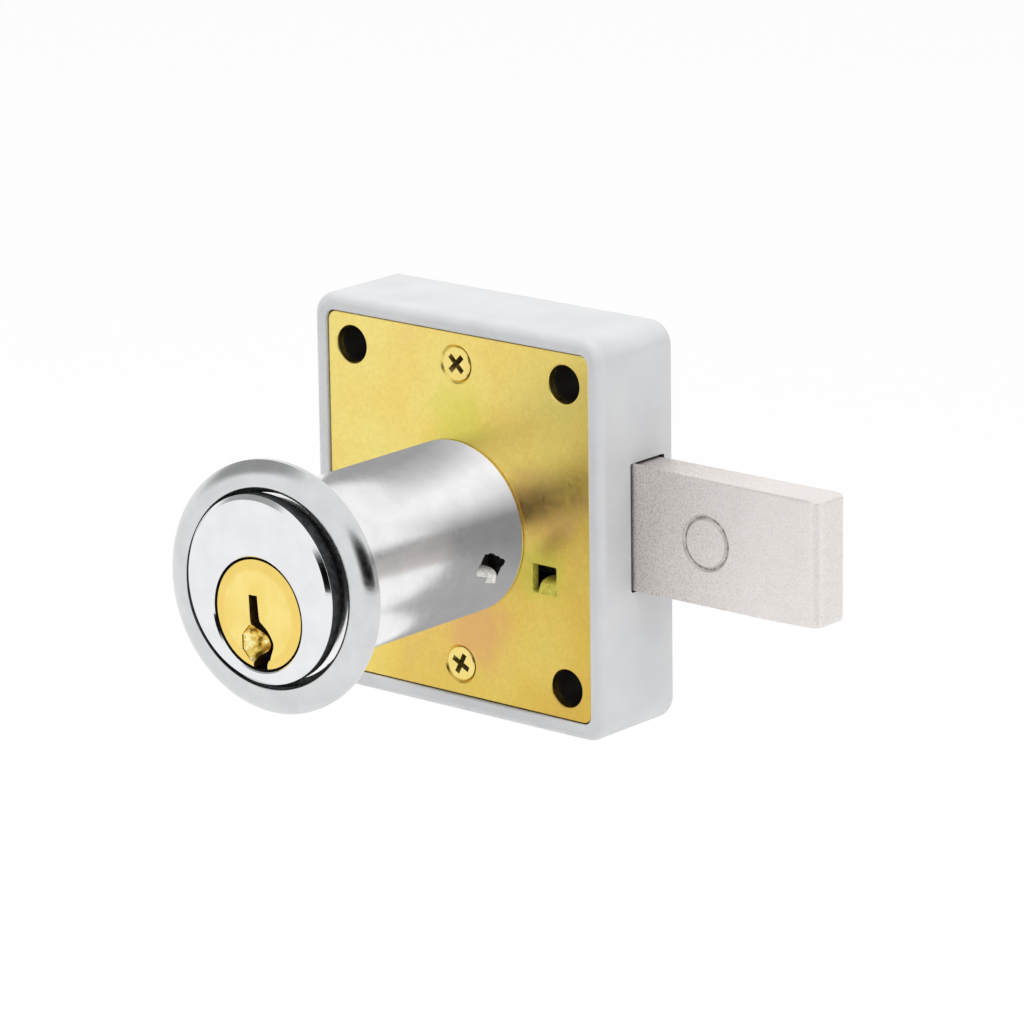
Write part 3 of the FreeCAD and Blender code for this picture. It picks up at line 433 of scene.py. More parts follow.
# Painted shade in the ejector mark's groove: a dark ring, broken up by noise
groove_shade = add_node(tree, "ShaderNodeMath", {"operation": "MULTIPLY"},
                 {0: spread(tree, off_groove.outputs["Value"], 1.0, 0.0, 0.05 * MM, 0.26 * MM),
                  1: spread(tree, grain(tree, place, 0.5 * MM, 4.0), 0.3, 1.0)}).outputs["Value"]
groove_shaded = add_node(tree, "ShaderNodeMix", {"data_type": "RGBA"},
                 {0: groove_shade, 6: speckle_with_shade.outputs[2], 7: linear("#6f6662")})
tree.links.new(groove_shaded.outputs[2], shader.inputs["Base Color"])
roughened(tree, shader, grain(tree, place, 0.8 * MM, 5.0), 0.42, 0.58)
relief(tree, shader, (grain(tree, place, 5 * MM, 1.0), 0.04 * MM), (speckle, 0.014 * MM))

lug_gap = 0.25 * MM
lug_right = inner_high.x - lug_gap
bolt_outline = [(bolt_low.x, bolt_low.z), (bolt_high.x, bolt_low.z), (bolt_high.x, bolt_bar_top),
                (lug_right, bolt_bar_top), (lug_right, bolt_high.z), (bolt_low.x, bolt_high.z)]
bolt_rings = [[(x, y, z) for x, z in bolt_outline] for y in (bolt_low.y, bolt_high.y)]
bolt = stacked("bolt", bolt_rings, satin_nickel)
build = bmesh.new()
build.from_mesh(bolt.data)


def bevel_where(build, size, steps, test):
    """Rounds the edges whose two ends pass a test."""
    edges = [edge for edge in build.edges if all(test(vert.co) for vert in edge.verts)]
    bmesh.ops.bevel(build, geom=edges, offset=size, segments=steps, profile=0.5, affect="EDGES")


end_round = 1.5 * MM
side_round = 0.5 * MM
near = 0.001 * MM
for y in (bolt_low.y, bolt_high.y):
    bevel_where(build, end_round, 10, lambda co: co.x > bolt_high.x - near and abs(co.y - y) < near)
for z in (bolt_low.z, bolt_bar_top):
    bevel_where(build, side_round, 5, lambda co: co.x > lug_right - near and abs(co.z - z) < near)
build.to_mesh(bolt.data)
build.free()

pin_low, pin_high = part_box("drive_pin")
pin_middle = (pin_low + pin_high) / 2
slot_half = 2.7 * MM
slot_foot = 1.75 * MM
slot_bridge = 1.3 * MM
drive_slot = block("drive_slot", (pin_middle.x - slot_half, bolt_low.y - MM, pin_middle.z - slot_foot),
                   (pin_middle.x + slot_half, bolt_high.y + MM, bolt_high.z - slot_bridge), satin_nickel)
mark_half = 0.34 * MM
mark_depth = 0.3 * MM
mark_profile = []
for step in range(9):
    angle = math.radians(180 * step / 8)
    mark_profile.append((mark_radius - mark_half * math.cos(angle),
                         bolt_low.y + mark_depth * math.sin(angle)))
mark_profile += [(mark_radius + mark_half, bolt_low.y - MM), (mark_radius - mark_half, bolt_low.y - MM)]
mark = turned("ejector_mark", mark_profile, satin_nickel, 96, mark_place)
combine(bolt, [drive_slot, mark])
finished(bolt, "bolt", "bolt_nickel", "bolt", angle=30)


# Cylinder housing
# A zinc casting, turned and chromed: the head with its bevelled face, and the body that fills the tube.
# It holds the plug below its middle and the driver pins with their springs above.

def arc(centre, first, turn, steps):
    """Points of an arc round a centre, from its first arm on through a turn."""
    points = []
    for step in range(steps + 1):
        angle = turn * step / steps
        points.append((centre.x + first.x * math.cos(angle) - first.y * math.sin(angle),
                       centre.y + first.x * math.sin(angle) + first.y * math.cos(angle)))
    return points


def corner_arc(before, corner, after, radius, steps):
    """Points of the arc that rounds a corner between its two neighbours."""
    start, end = (before - corner).normalized(), (after - corner).normalized()
    half = math.acos(max(-1.0, min(1.0, start.dot(end)))) / 2
    reach = radius / math.tan(half)
    centre = corner + (start + end).normalized() * (radius / math.sin(half))
    first, last = corner + start * reach - centre, corner + end * reach - centre
    return arc(centre, first, -first.angle_signed(last), steps)


def eased(corners, radii, steps=6):
    """A closed line whose numbered corners are rounded."""
    corners = [Vector(corner) for corner in corners]
    line = []
    for number, corner in enumerate(corners):
        if number in radii:
            after = corners[(number + 1) % len(corners)]
            line += corner_arc(corners[number - 1], corner, after, radii[number], steps)
        else:
            line.append(tuple(corner))
    return line


def chrome(name, codes, roughness, wave, wave_depth):
    """Bright chrome plate: a cool white metal, with slow waves from polishing and a fine sandy grain."""
    finish, tree, shader, place = new_finish(name, 1.0, roughness)
    tinted(tree, shader, grain(tree, place, 3 * MM), ((0.3, codes[0]), (0.7, codes[1])))
    roughened(tree, shader, grain(tree, place, 0.7 * MM), roughness * 0.85, roughness * 1.2)
    relief(tree, shader, (grain(tree, place, wave, 1.0), wave_depth),
           (grain(tree, place, 0.3 * MM, 4.0), 0.004 * MM))
    return finish


head_chrome = chrome("head_chrome", ("#e7e8ea", "#eeeff0"), 0.1, 6 * MM, 0.01 * MM)

# Chrome in the recesses: thin and unpolished, so it is blurred, and painted dark for the shade there.
shaded_recess_chrome = grained("shaded_recess_chrome", 0.8, 0.45, 0.8 * MM,
                      ((0.3, "#2f3133"), (0.7, "#515355")), 0.3 * MM, 0.01 * MM)
housing_low, housing_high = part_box("cylinder_housing")
tube_low, tube_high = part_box("barrel_tube")
head_radius = housing_high.x
head_back = tube_low.y
tube_radius = tube_high.x
tube_wall = 0.8 * MM
fit_gap = 0.05 * MM
housing_radius = tube_radius - tube_wall - fit_gap
clip_groove = 0.65 * MM
clip_width = 0.86 * MM
clip_back = plate_back + clip_width
head_bevel = 0.55 * MM
housing_profile = [
    (0, housing_low.y), (head_radius - head_bevel, housing_low.y), (head_radius, housing_low.y + head_bevel),
    (head_radius, head_back), (housing_radius, head_back), (housing_radius, plate_back),
    (housing_radius - clip_groove, plate_back), (housing_radius - clip_groove, clip_back),
    (housing_radius, clip_back), (housing_radius, housing_high.y), (0, housing_high.y),
]
edge_radii = {1: 0.16 * MM, 2: 0.16 * MM, 3: 0.2 * MM}
housing = turned("cylinder_housing", eased(housing_profile, edge_radii), head_chrome, 256)

plug_low, plug_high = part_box("plug")
plug_z = -3 * MM
plug_front = plug_low.y
face_depth = 2.4 * MM
plug_shoulder = plug_front + face_depth
bore_shoulder = plug_shoulder + 0.03 * MM
plug_face_radius = plug_high.x
plug_radius = 6.2 * MM
plug_bore = plug_radius + fit_gap
face_gap = 0.3 * MM
face_bore = plug_face_radius + face_gap
journal_radius = 3 * MM
plug_end = -2.2 * MM
bore_lip = 0.16 * MM
bore_profile = [
    (0, housing_low.y - MM), (face_bore + bore_lip + MM, housing_low.y - MM),
    (face_bore + bore_lip, housing_low.y), (face_bore, housing_low.y + bore_lip),
    (face_bore, bore_shoulder), (plug_bore, bore_shoulder), (plug_bore, plug_end + fit_gap),
    (journal_radius + fit_gap, plug_end + fit_gap), (journal_radius + fit_gap, housing_high.y + MM),
    (0, housing_high.y + MM),
]
pin_radius = 1.4 * MM
chamber_radius = pin_radius + fit_gap
pin_boxes = [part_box("key_pin_%d" % row) for row in range(1, 6)]
pin_rows = [(low.y + high.y) / 2 for low, high in pin_boxes]


def chamber(y, low_z, high_z, finish):
    """A round pin chamber along Z, on the barrel's middle plane."""
    angles = [2 * math.pi * step / 48 for step in range(48)]
    rings = [[(chamber_radius * math.cos(angle), y + chamber_radius * math.sin(angle), z) for angle in angles]
             for z in (low_z, high_z)]
    return stacked("chamber", rings, finish)


cuts = [chamber(y, 0.1 * MM, 12 * MM, head_chrome) for y in pin_rows]
# Room for the tube's tongue
notch = [(x * MM, y * MM, z * MM) for x, y, z in ((8.45, -8.45, -3.5), (12, -3.55, -0.05))]
cuts.append(block("tongue_notch", *notch, head_chrome))
cuts.append(turned("plug_bore", bore_profile, head_chrome, 192, (0, plug_z)))
combine(housing, cuts)
head_side = housing_low.y + head_bevel
# The head's side and the walls of its bores take the dark recess chrome: painted shade round the head
repaint(housing, shaded_recess_chrome, lambda middle, radius, normal: middle.y > head_side and abs(normal.y) < 0.9)
repaint(housing, shaded_raw_casting, lambda middle, radius, normal: middle.y > head_back - margin)
finished(housing, "lock_case", "chrome_head", "cylinder_housing")


# Plug
# Turned brass, polished on its face: a wide bevel, the keyway broached through, and a countersink that leads
# the key in. Five chambers above the keyway hold the key pins, and the square tail drives the arm.

# Polished brass: warm yellow with faint turning rings, ten times as coarse as a lathe's 0.25 mm to show.
polished_brass, tree, shader, place = new_finish("polished_brass", 1.0, 0.16)
centred = add_node(tree, "ShaderNodeMapping",
                   inputs={"Vector": place, "Location": (0, 0, -plug_z)}).outputs["Vector"]
# A wave texture of scale 1 repeats after 0.314
wave_length = 0.314
ring_width = 2.5 * MM
rings = add_node(tree, "ShaderNodeTexWave", {"wave_type": "RINGS", "rings_direction": "Y"},
                 {"Vector": centred, "Scale": wave_length / ring_width, "Distortion": 1.5, "Detail": 2.0})
tint = add_node(tree, "ShaderNodeValToRGB", inputs={"Fac": grain(tree, place, 2.5 * MM)},
                stops=((0.3, "#f6db7b"), (0.7, "#fde58e")))
flat = add_node(tree, "ShaderNodeVectorMath", {"operation": "MULTIPLY"}, {0: centred, 1: (1, 0, 1)})
from_axis = add_node(tree, "ShaderNodeVectorMath", {"operation": "LENGTH"}, {0: flat.outputs["Vector"]})
# Painted shade: the bevel is mixed towards a deeper, darker gold
on_bevel = spread(tree, from_axis.outputs["Value"], 0.0, 0.4, 5.3 * MM, 5.7 * MM)
bevel_shade_tint = add_node(tree, "ShaderNodeMix", {"data_type": "RGBA"},
                  {0: on_bevel, 6: tint.outputs["Color"], 7: linear("#f0c75c")})
tree.links.new(bevel_shade_tint.outputs[2], shader.inputs["Base Color"])
roughened(tree, shader, grain(tree, place, 0.8 * MM), 0.12, 0.22)
relief(tree, shader, (rings.outputs["Fac"], 0.0012 * MM), (grain(tree, place, 3 * MM, 1.0), 0.02 * MM))

# Broached walls of the keyway: rough brass, painted dark brown for the shade down in the keyway.
shaded_keyway_brass = grained("shaded_keyway_brass", 0.6, 0.5, 0.8 * MM,
                         ((0.3, "#33220b"), (0.7, "#6b4d1c")), 0.3 * MM, 0.01 * MM)

# The countersink, knocked by the key's tip: bright brass with dark scars.
worn_brass, tree, shader, place = new_finish("worn_brass", 1.0, 0.22)
tinted(tree, shader, grain(tree, place, 1.6 * MM, 3.0, 0.6),
       ((0.38, "#7d5c20"), (0.46, "#d8b04e"), (0.56, "#f6db7b"), (0.64, "#fff2b4")))
relief(tree, shader, (grain(tree, place, 0.9 * MM), 0.08 * MM))

bevel_width = 1.4 * MM
bevel_fall = 0.2 * MM
arm_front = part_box("drive_arm")[0].y
plug_profile = [
    (0, plug_front), (plug_face_radius - bevel_width, plug_front),
    (plug_face_radius, plug_front + bevel_fall), (plug_face_radius, plug_shoulder),
    (plug_radius, plug_shoulder), (plug_radius, plug_end), (journal_radius, plug_end),
    (journal_radius, arm_front), (0, arm_front),
]
edge_radii = {1: 0.5 * MM, 2: 0.1 * MM}
plug = turned("plug", eased(plug_profile, edge_radii, 8), polished_brass, 192, (0, plug_z))
square_half = 2.1 * MM
tail = block("tail", (-square_half, arm_front - fit_gap, plug_z - square_half),
             (square_half, plug_high.y, plug_z + square_half), polished_brass)
combine(plug, [tail], "UNION")


def curve_through(points):
    """A smooth line through points, five steps from each to the next."""
    line = []
    inner = [Vector(point) for point in points]
    ends = [2 * inner[0] - inner[1]] + inner + [2 * inner[-1] - inner[-2]]
    for number in range(1, len(ends) - 2):
        a, b, c, d = ends[number - 1:number + 3]
        for step in range(5):
            t = step / 5
            square, cube = 2 * a - 5 * b + 4 * c - d, 3 * b - a - 3 * c + d
            line.append(0.5 * (2 * b + (c - a) * t + square * t ** 2 + cube * t ** 3))
    return line + [Vector(points[-1])]


# The keyway about the plug's axis, across and up: down its left wall, round the ward and back up at its right
left_wall = curve_through([(-1.27, -0.5), (-1.12, -1.35), (-0.6, -2.15), (-0.15, -2.75), (0.0, -3.4),
                           (-0.05, -3.75)])
ward = [Vector((0.8, -3.95)), Vector((0.45, -4.75)), Vector((-0.5, -5.35))]
left_foot = curve_through([(-0.75, -5.8), (-0.98, -6.5), (-0.8, -7.4)])
right_wall = curve_through([(1.6, -7.4), (1.25, -6.45), (1.55, -5.6), (2.25, -4.3), (2.48, -3.35),
                            (2.2, -2.6), (1.6, -1.8), (0.9, -1.2), (0.35, -0.75), (0.18, -0.1)])
keyway_line = [Vector((-1.38, 2.3))] + left_wall + ward + left_foot + right_wall + [Vector((-0.04, 2.35))]
key_depth = 27.4 * MM
keyway_rings = [[(p.x * MM, y, plug_z + p.y * MM) for p in keyway_line]
                for y in (plug_front - MM, plug_front + key_depth)]
sink_middle = (-0.15 * MM, plug_z - 3.75 * MM)
# The countersink's radii and depths: its lip, its worn edge and its rounded floor
sink_profile = [(radius * MM, plug_front + depth * MM) for radius, depth in
                ((0, -1), (2.75, -1), (2.6, 0), (2.54, 0.16), (0.5, 1.8), (0, 2.1))]
sink_facets = 9
cuts = [chamber(y, plug_z, 4.2 * MM, polished_brass) for y in pin_rows]
bore_start = plug_high.y - 6.5 * MM
cuts.append(post("tail_bore", 0, plug_z, tap_radius, bore_start, plug_high.y + MM, polished_brass))
cuts.append(turned("key_sink", sink_profile, worn_brass, sink_facets, sink_middle))
cuts.append(stacked("keyway", keyway_rings, shaded_keyway_brass))
combine(plug, cuts)
finished(plug, "plug_unit", "plug_brass", "plug", angle=20)


# Pins and springs
# Five key pins ride in the plug at the height a fitting key gives them, and five driver pins stand on them.
# The springs press them down; each is five turns of bronze wire, closed in by the tube.

# Turned nickel silver: pale yellow-grey, with a lathe's 0.2 mm turning lines ten times as coarse to show.
nickel_silver, tree, shader, place = new_finish("nickel_silver", 1.0, 0.25)
line_width = 2 * MM
lines = add_node(tree, "ShaderNodeTexWave", {"wave_type": "BANDS", "bands_direction": "Z"},
                 {"Vector": place, "Scale": wave_length / line_width, "Distortion": 0.5})
tinted(tree, shader, grain(tree, place, 1.0 * MM), ((0.3, "#c9b98a"), (0.7, "#d8cba2")))
relief(tree, shader, (lines.outputs["Fac"], 0.002 * MM))
for row in range(1, 6):
    dress(nickel_silver, "key_pin_%d" % row, "driver_pin_%d" % row)

# Drawn bronze wire: reddish yellow and smooth.
bronze_wire = grained("bronze_wire", 1.0, 0.22, 0.8 * MM,
                      ((0.3, "#b58a55"), (0.7, "#c79c66")), 0.15 * MM, 0.001 * MM)


def new_node_group(name, kinds):
    """An empty Geometry Nodes tree whose named inputs have the kinds given."""
    group = bpy.data.node_groups.new(name, "GeometryNodeTree")
    group.interface.new_socket("Geometry", in_out="INPUT", socket_type="NodeSocketGeometry")
    group.interface.new_socket("Geometry", in_out="OUTPUT", socket_type="NodeSocketGeometry")
    for label, kind in kinds.items():
        group.interface.new_socket(label, in_out="INPUT", socket_type=kind)
    return group, add_node(group, "NodeGroupInput"), add_node(group, "NodeGroupOutput")


def in_a_row(tree, result, line, shape, paint):
    """Repeats a shape at the points of a line and paints what it gives; each takes its node's inputs."""
    points = add_node(tree, "GeometryNodeMeshLine", inputs=line)
    placed = add_node(tree, "GeometryNodeInstanceOnPoints",
                      inputs={"Points": points.outputs["Mesh"], **shape})
    made = add_node(tree, "GeometryNodeRealizeInstances", inputs={"Geometry": placed.outputs["Instances"]})
    painted = add_node(tree, "GeometryNodeSetMaterial",
                       inputs={"Geometry": made.outputs["Geometry"], **paint})
    tree.links.new(painted.outputs["Geometry"], result.inputs["Geometry"])


def grown(piece, group, values):
    """Runs a Geometry Nodes tree on a piece with its inputs set by name, and keeps the mesh that it gives."""
    step = piece.modifiers.new(group.name, "NODES")
    step.node_group = group
    for socket in group.interface.items_tree:
        if socket.name in values:
            step[socket.identifier] = values[socket.name]
    settle(piece)


coils, given, result = new_node_group("coil_springs", {
    "Turns": "NodeSocketFloat", "Radius": "NodeSocketFloat", "Rise": "NodeSocketFloat",
    "Wire": "NodeSocketFloat", "Pitch": "NodeSocketFloat", "Foot": "NodeSocketVector"})
helix = add_node(coils, "GeometryNodeCurveSpiral", inputs={
    "Resolution": 24, "Rotations": given.outputs["Turns"], "Start Radius": given.outputs["Radius"],
    "End Radius": given.outputs["Radius"], "Height": given.outputs["Rise"]})
section = add_node(coils, "GeometryNodeCurvePrimitiveCircle", inputs={
    "Resolution": 10, "Radius": given.outputs["Wire"]})
wire = add_node(coils, "GeometryNodeCurveToMesh", inputs={
    "Curve": helix.outputs["Curve"], "Profile Curve": section.outputs["Curve"], "Fill Caps": True})
step_back = add_node(coils, "ShaderNodeCombineXYZ", inputs={"Y": given.outputs["Pitch"]})
in_a_row(coils, result,
         {"Count": 5, "Start Location": given.outputs["Foot"], "Offset": step_back.outputs["Vector"]},
         {"Instance": wire.outputs["Mesh"]}, {"Material": bronze_wire})

spring_low, spring_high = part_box("pin_spring_1")
wire_radius = 0.15 * MM
springs = new_piece("pin_springs", [], [], bronze_wire)
grown(springs, coils, {
    "Turns": 5.0, "Radius": 1.15 * MM, "Rise": spring_high.z - spring_low.z - 2 * wire_radius,
    "Wire": wire_radius, "Pitch": pin_rows[1] - pin_rows[0],
    "Foot": (0.0, pin_rows[0], spring_low.z + wire_radius)})
finished(springs, "lock_case", "spring_steel", *["pin_spring_%d" % row for row in range(1, 6)])


# Barrel tube
# Thin drawn steel tube over the housing, chromed and a little sandy from the plating.
# Near its foot a tongue is lanced and bent in through a ragged window, which keys the tube to the housing.

tube_chrome = chrome("tube_chrome", ("#ececed", "#f5f5f5"), 0.2, 8 * MM, 0.02 * MM)
tube_bore = tube_radius - tube_wall
tube_profile = [(tube_bore, tube_low.y), (tube_radius, tube_low.y), (tube_radius, tube_high.y),
                (tube_bore, tube_high.y)]
tube = turned("barrel_tube", eased(tube_profile, {1: 0.2 * MM, 2: 0.25 * MM}), tube_chrome, 256)
# The window's ragged edge, along the barrel and up, as the lancing tool tore it
window_edge = [(-8.5, -1.95), (-8.2, -1.5), (-7.85, -1.25), (-7.5, -0.65), (-7.25, -0.35), (-7.0, -0.12),
               (-6.6, -0.28), (-6.1, -0.2), (-5.46, -0.42), (-5.0, -0.8), (-4.5, -0.95), (-4.0, -1.4),
               (-3.5, -1.55), (-3.11, -1.92), (-3.3, -2.35), (-3.75, -2.6), (-4.0, -3.3),
               (-4.19, -3.87), (-6.3, -3.4), (-8.32, -2.87)]
window_rings = [[(x, y * MM, z * MM) for y, z in window_edge] for x in (6 * MM, 13 * MM)]
# The window's walls take the dark recess chrome, which is painted shade
window = stacked("window", window_rings, shaded_recess_chrome)


def strip(name, path, across, thick, finish, shares):
    """A flat strip with round edges along a path; across is its width as a vector, and shares narrow it."""
    rings = []
    side = across.normalized()
    for number, point in enumerate(path):
        ahead = path[min(number + 1, len(path) - 1)] - path[max(number - 1, 0)]
        rise = ahead.cross(side).normalized()
        corner = Vector((across.length / 2 * shares[number], thick / 2))
        outline = rounded_rectangle(-corner, corner, corner.y * 0.6, steps=4)
        rings.append([point + side * a + rise * b for a, b in outline])
    return stacked(name, rings, finish)


tongue_path = [Vector((x * MM, -6.25 * MM, z * MM)) for x, z in
               ((9.93, -4.0), (10.03, -3.72), (10.13, -3.4), (10.17, -3.1), (10.1, -2.84), (9.92, -2.62),
                (9.66, -2.46), (9.3, -2.36), (8.9, -2.3))]
tongue_shares = (1, 1, 1, 1, 0.98, 0.93, 0.86, 0.76, 0.6)
# Chrome over torn steel: matt and white
torn_chrome = grained("torn_chrome", 0.25, 0.4, 0.5 * MM,
                      ((0.35, "#d9dadb"), (0.6, "#fbfbfb")), 0.4 * MM, 0.03 * MM)
tongue_across = Vector((0, 4.0 * MM, -1.0 * MM))
tongue_thick = 0.6 * MM
tongue = strip("tongue", tongue_path, tongue_across, tongue_thick, torn_chrome, tongue_shares)
combine(tube, [window])
combine(tube, [tongue], "UNION")
finished(tube, "lock_case", "chrome_tube", "barrel_tube")


# Rosette
# A pressed and chromed ring with a domed face, loose on the barrel; it covers the edge of the door's bore.
# It hangs with a little play, so it leans back at its right and at its top, as the photo shows it.

ring_chrome = chrome("ring_chrome", ("#d2d3d4", "#dcddde"), 0.16, 6 * MM, 0.05 * MM)
ring_outer = 15.6 * MM
ring_bore = 11.5 * MM
ring_recess = 12.2 * MM
lip_y = head_back - 0.85 * MM
seat_y = lip_y + 1.95 * MM
ring_back = lip_y + 2.6 * MM
rim_back = ring_back - 0.5 * MM
rim_thick = 0.7 * MM
lip_round = 0.45 * MM
dome_radius = 3.6 * MM
hollow_radius = 13.2 * MM
hollow_depth = 0.9 * MM
foot_radius = 12.5 * MM


def arc_between(start, end, radius, steps):
    """Points of an arc of a radius from start to end, round a centre to the left of its chord."""
    start, end = Vector(start), Vector(end)
    chord = end - start
    aside = Vector((-chord.y, chord.x)).normalized() * math.sqrt(radius ** 2 - (chord.length / 2) ** 2)
    centre = (start + end) / 2 + aside
    first, last = start - centre, end - centre
    return arc(centre, first, -first.angle_signed(last), steps)


lip_arc = arc_between((ring_recess, lip_y + lip_round / 2), (ring_recess + lip_round, lip_y), lip_round, 6)
dome_arc = arc_between((ring_recess + lip_round, lip_y), (ring_outer, rim_back - rim_thick), dome_radius, 28)
ring_profile = [(ring_bore, ring_back), (ring_bore, seat_y), (ring_recess, seat_y)] + lip_arc + dome_arc[1:]
ring_profile += [(ring_outer, rim_back), (ring_outer - rim_thick, rim_back),
                 (hollow_radius, rim_back - hollow_depth), (foot_radius, ring_back)]
rosette = turned("rosette", ring_profile, ring_chrome, 256)
# The ring's bore and seat take the dark recess chrome: painted shade inside the ring
repaint(rosette, shaded_recess_chrome, lambda middle, radius, normal: radius < ring_recess + margin)
lean = Vector((0, 1, 0)).rotation_difference(Vector((-0.074, 1.0, -0.031))).to_matrix().to_4x4()
hang = Vector((0.15 * MM, seat_y, -0.15 * MM))
rosette.data.transform(Matrix.Translation(hang) @ lean @ Matrix.Translation((0, -seat_y, 0)))
finished(rosette, "rosette", "chrome_ring", "rosette", angle=35)


# Cover plate
# Pressed sheet steel, 1.2 mm thick, yellow zinc plated: golden with green and pink clouds in the film.
# The press rolled its holes' edges in a little, and lanced one tab in through a small window.

# Yellow zinc: a thin chromate film on bright zinc; its gold shifts in clouds over the sheet's fine grain.
yellow_zinc, tree, shader, place = new_finish("yellow_zinc", 1.0, 0.27)
clouds = add_node(tree, "ShaderNodeValToRGB", inputs={"Fac": grain(tree, place, 11 * MM, 2.0)},
                  stops=((0.25, "#f0e48a"), (0.42, "#f6e388"), (0.58, "#f6de82"), (0.78, "#f3d590")))
clouds.color_ramp.interpolation = "EASE"
fine = add_node(tree, "ShaderNodeValToRGB", inputs={"Fac": grain(tree, place, 0.5 * MM, 4.0)},
                stops=((0.35, "#f2f2ee"), (0.65, "#ffffff")))
tint = add_node(tree, "ShaderNodeMix", {"data_type": "RGBA", "blend_type": "MULTIPLY"},
                {0: 0.6, 6: clouds.outputs["Color"], 7: fine.outputs["Color"]})
# Painted reflection: the gold is paler towards the upper left and darker towards the lower right, along a
# ragged line
across = add_node(tree, "ShaderNodeVectorMath", {"operation": "DOT_PRODUCT"},
                  {0: place, 1: (0.707, 0, -0.707)}).outputs["Value"]
thick = add_node(tree, "ShaderNodeMath", {"operation": "MULTIPLY_ADD"},
                 {0: grain(tree, place, 12 * MM, 2.0), 1: 24 * MM, 2: across}).outputs["Value"]
diagonal_shade = add_node(tree, "ShaderNodeValToRGB", inputs={"Fac": spread(tree, thick, 0.0, 1.0, -14 * MM, 42 * MM)},
                stops=((0.0, "#ffffff"), (0.5, "#fbf3dd"), (1.0, "#e2d2a8")))
gold = add_node(tree, "ShaderNodeMix", {"data_type": "RGBA", "blend_type": "MULTIPLY"},
                {0: 1.0, 6: tint.outputs[2], 7: diagonal_shade.outputs["Color"]}).outputs[2]
for centre, reach, code, share in (((13, 0, 5), 6, "#e0ad70", 0.5), ((3, 0, -13), 7, "#dca272", 0.65),
                                   ((14, 0, -4), 5, "#c9c84c", 0.6), ((1, 0, 13), 6, "#d6d252", 0.5)):
    away = add_node(tree, "ShaderNodeVectorMath", {"operation": "DISTANCE"},
                    {0: place, 1: [value * MM for value in centre]}).outputs["Value"]
    ragged = add_node(tree, "ShaderNodeMath", {"operation": "MULTIPLY_ADD"},
                      {0: grain(tree, place, 4 * MM, 3.0), 1: 6 * MM, 2: away}).outputs["Value"]
    stain = spread(tree, ragged, share, 0.0, 0.35 * reach * MM + 3 * MM, reach * MM + 3 * MM)
    stained = add_node(tree, "ShaderNodeMix", {"data_type": "RGBA"}, {0: stain, 6: gold, 7: linear(code)})
    gold = stained.outputs[2]
tree.links.new(gold, shader.inputs["Base Color"])
roughened(tree, shader, grain(tree, place, 0.9 * MM, 4.0), 0.27, 0.36)
relief(tree, shader, (grain(tree, place, 9 * MM, 1.0), 0.05 * MM),
       (grain(tree, place, 0.3 * MM, 3.0), 0.002 * MM))

# Sheared steel with the film in it: dull, greenish yellow.
sheared_zinc = grained("sheared_zinc", 0.25, 0.45, 0.6 * MM,
                       ((0.3, "#b9ae3e"), (0.7, "#e2d660")), 0.3 * MM, 0.02 * MM)

plate_front = plate_low.y
plate_edge = 0.16 * MM
plate_rings = rounded_front(plate_low, plate_high, cavity_corner, plate_front, plate_edge)
plate_rings.append(outline_at(plate_low, plate_high, cavity_corner, 0, plate_back))
plate = stacked("cover_plate", plate_rings, yellow_zinc)


def pressed_hole(name, x, z, radius, roll):
    """A round hole whose front edge is rolled in."""
    rolled = [(radius + roll * (1 - math.sin(a)), plate_front + roll * (1 - math.cos(a))) for a in end_angles]
    profile = [(0, plate_front - MM), (radius + roll, plate_front - MM)] + rolled
    profile += [(radius, plate_back + MM), (0, plate_back + MM)]
    return turned(name, profile, yellow_zinc, 96, (x, z))


hole_roll = 0.22 * MM
cuts = [pressed_hole("hole", x, z, hole_radius, hole_roll) for x in hole_columns for z in hole_rows]
cuts.append(pressed_hole("barrel_hole", 0, 0, tube_bore, 0.05 * MM))
screw_hole = 1.3 * MM
screw_sink = 2.52 * MM
sink_profile = [(0, plate_front - MM), (screw_sink + MM, plate_front - MM), (screw_sink, plate_front),
                (screw_hole, plate_front + screw_sink - screw_hole), (screw_hole, plate_back + MM),
                (0, plate_back + MM)]
cuts += [turned("screw_sink", sink_profile, yellow_zinc, 64, (case_middle.x, z)) for z in hole_rows]
window_low, window_high = (12.2 * MM, -6.35 * MM), (16.0 * MM, -2.75 * MM)
window_roll = 0.12 * MM
window_corner = 0.2 * MM
window_rings = []
for y, grow in ((plate_front - MM, window_roll), (plate_front, window_roll),
                (plate_front + window_roll, 0), (plate_back + MM, 0)):
    low = (window_low[0] - grow, window_low[1] - grow)
    high = (window_high[0] + grow, window_high[1] + grow)
    window_rings.append([(x, y, z) for x, z in rounded_rectangle(low, high, window_corner, steps=3)])
cuts.append(stacked("window", window_rings, sheared_zinc))
combine(plate, cuts)
tab_path = [Vector((14.5 * MM, y * MM, z * MM)) for y, z in
            ((0.78, -6.8), (0.8, -6.4), (0.9, -5.95), (1.12, -5.55), (1.5, -5.22), (2.05, -5.02),
             (2.7, -4.95), (3.4, -4.95))]
tab_shares = (1, 1, 1, 1, 0.98, 0.93, 0.85, 0.7)
tab_across = Vector((2.9 * MM, 0, 0))
tab_thick = 0.76 * MM
tab = strip("tab", tab_path, tab_across, tab_thick, sheared_zinc, tab_shares)
combine(plate, [tab], "UNION")
finished(plate, "lock_case", "yellow_zinc", "cover_plate")


# Barrel clip and drive
# The spring clip snaps into the housing's groove behind the plate and holds barrel and plate together.
# The stamped arm sits on the plug's square tail under its screw; its riveted pin carries the bolt.

# Zinc-plated pressed steel: cool grey and slightly cloudy.
plated_steel = grained("plated_steel", 1.0, 0.3, 1.5 * MM,
                       ((0.3, "#aeb2b6"), (0.7, "#c4c7ca")), 0.4 * MM, 0.006 * MM)
dress(plated_steel, "drive_arm", "drive_pin", "tail_screw")


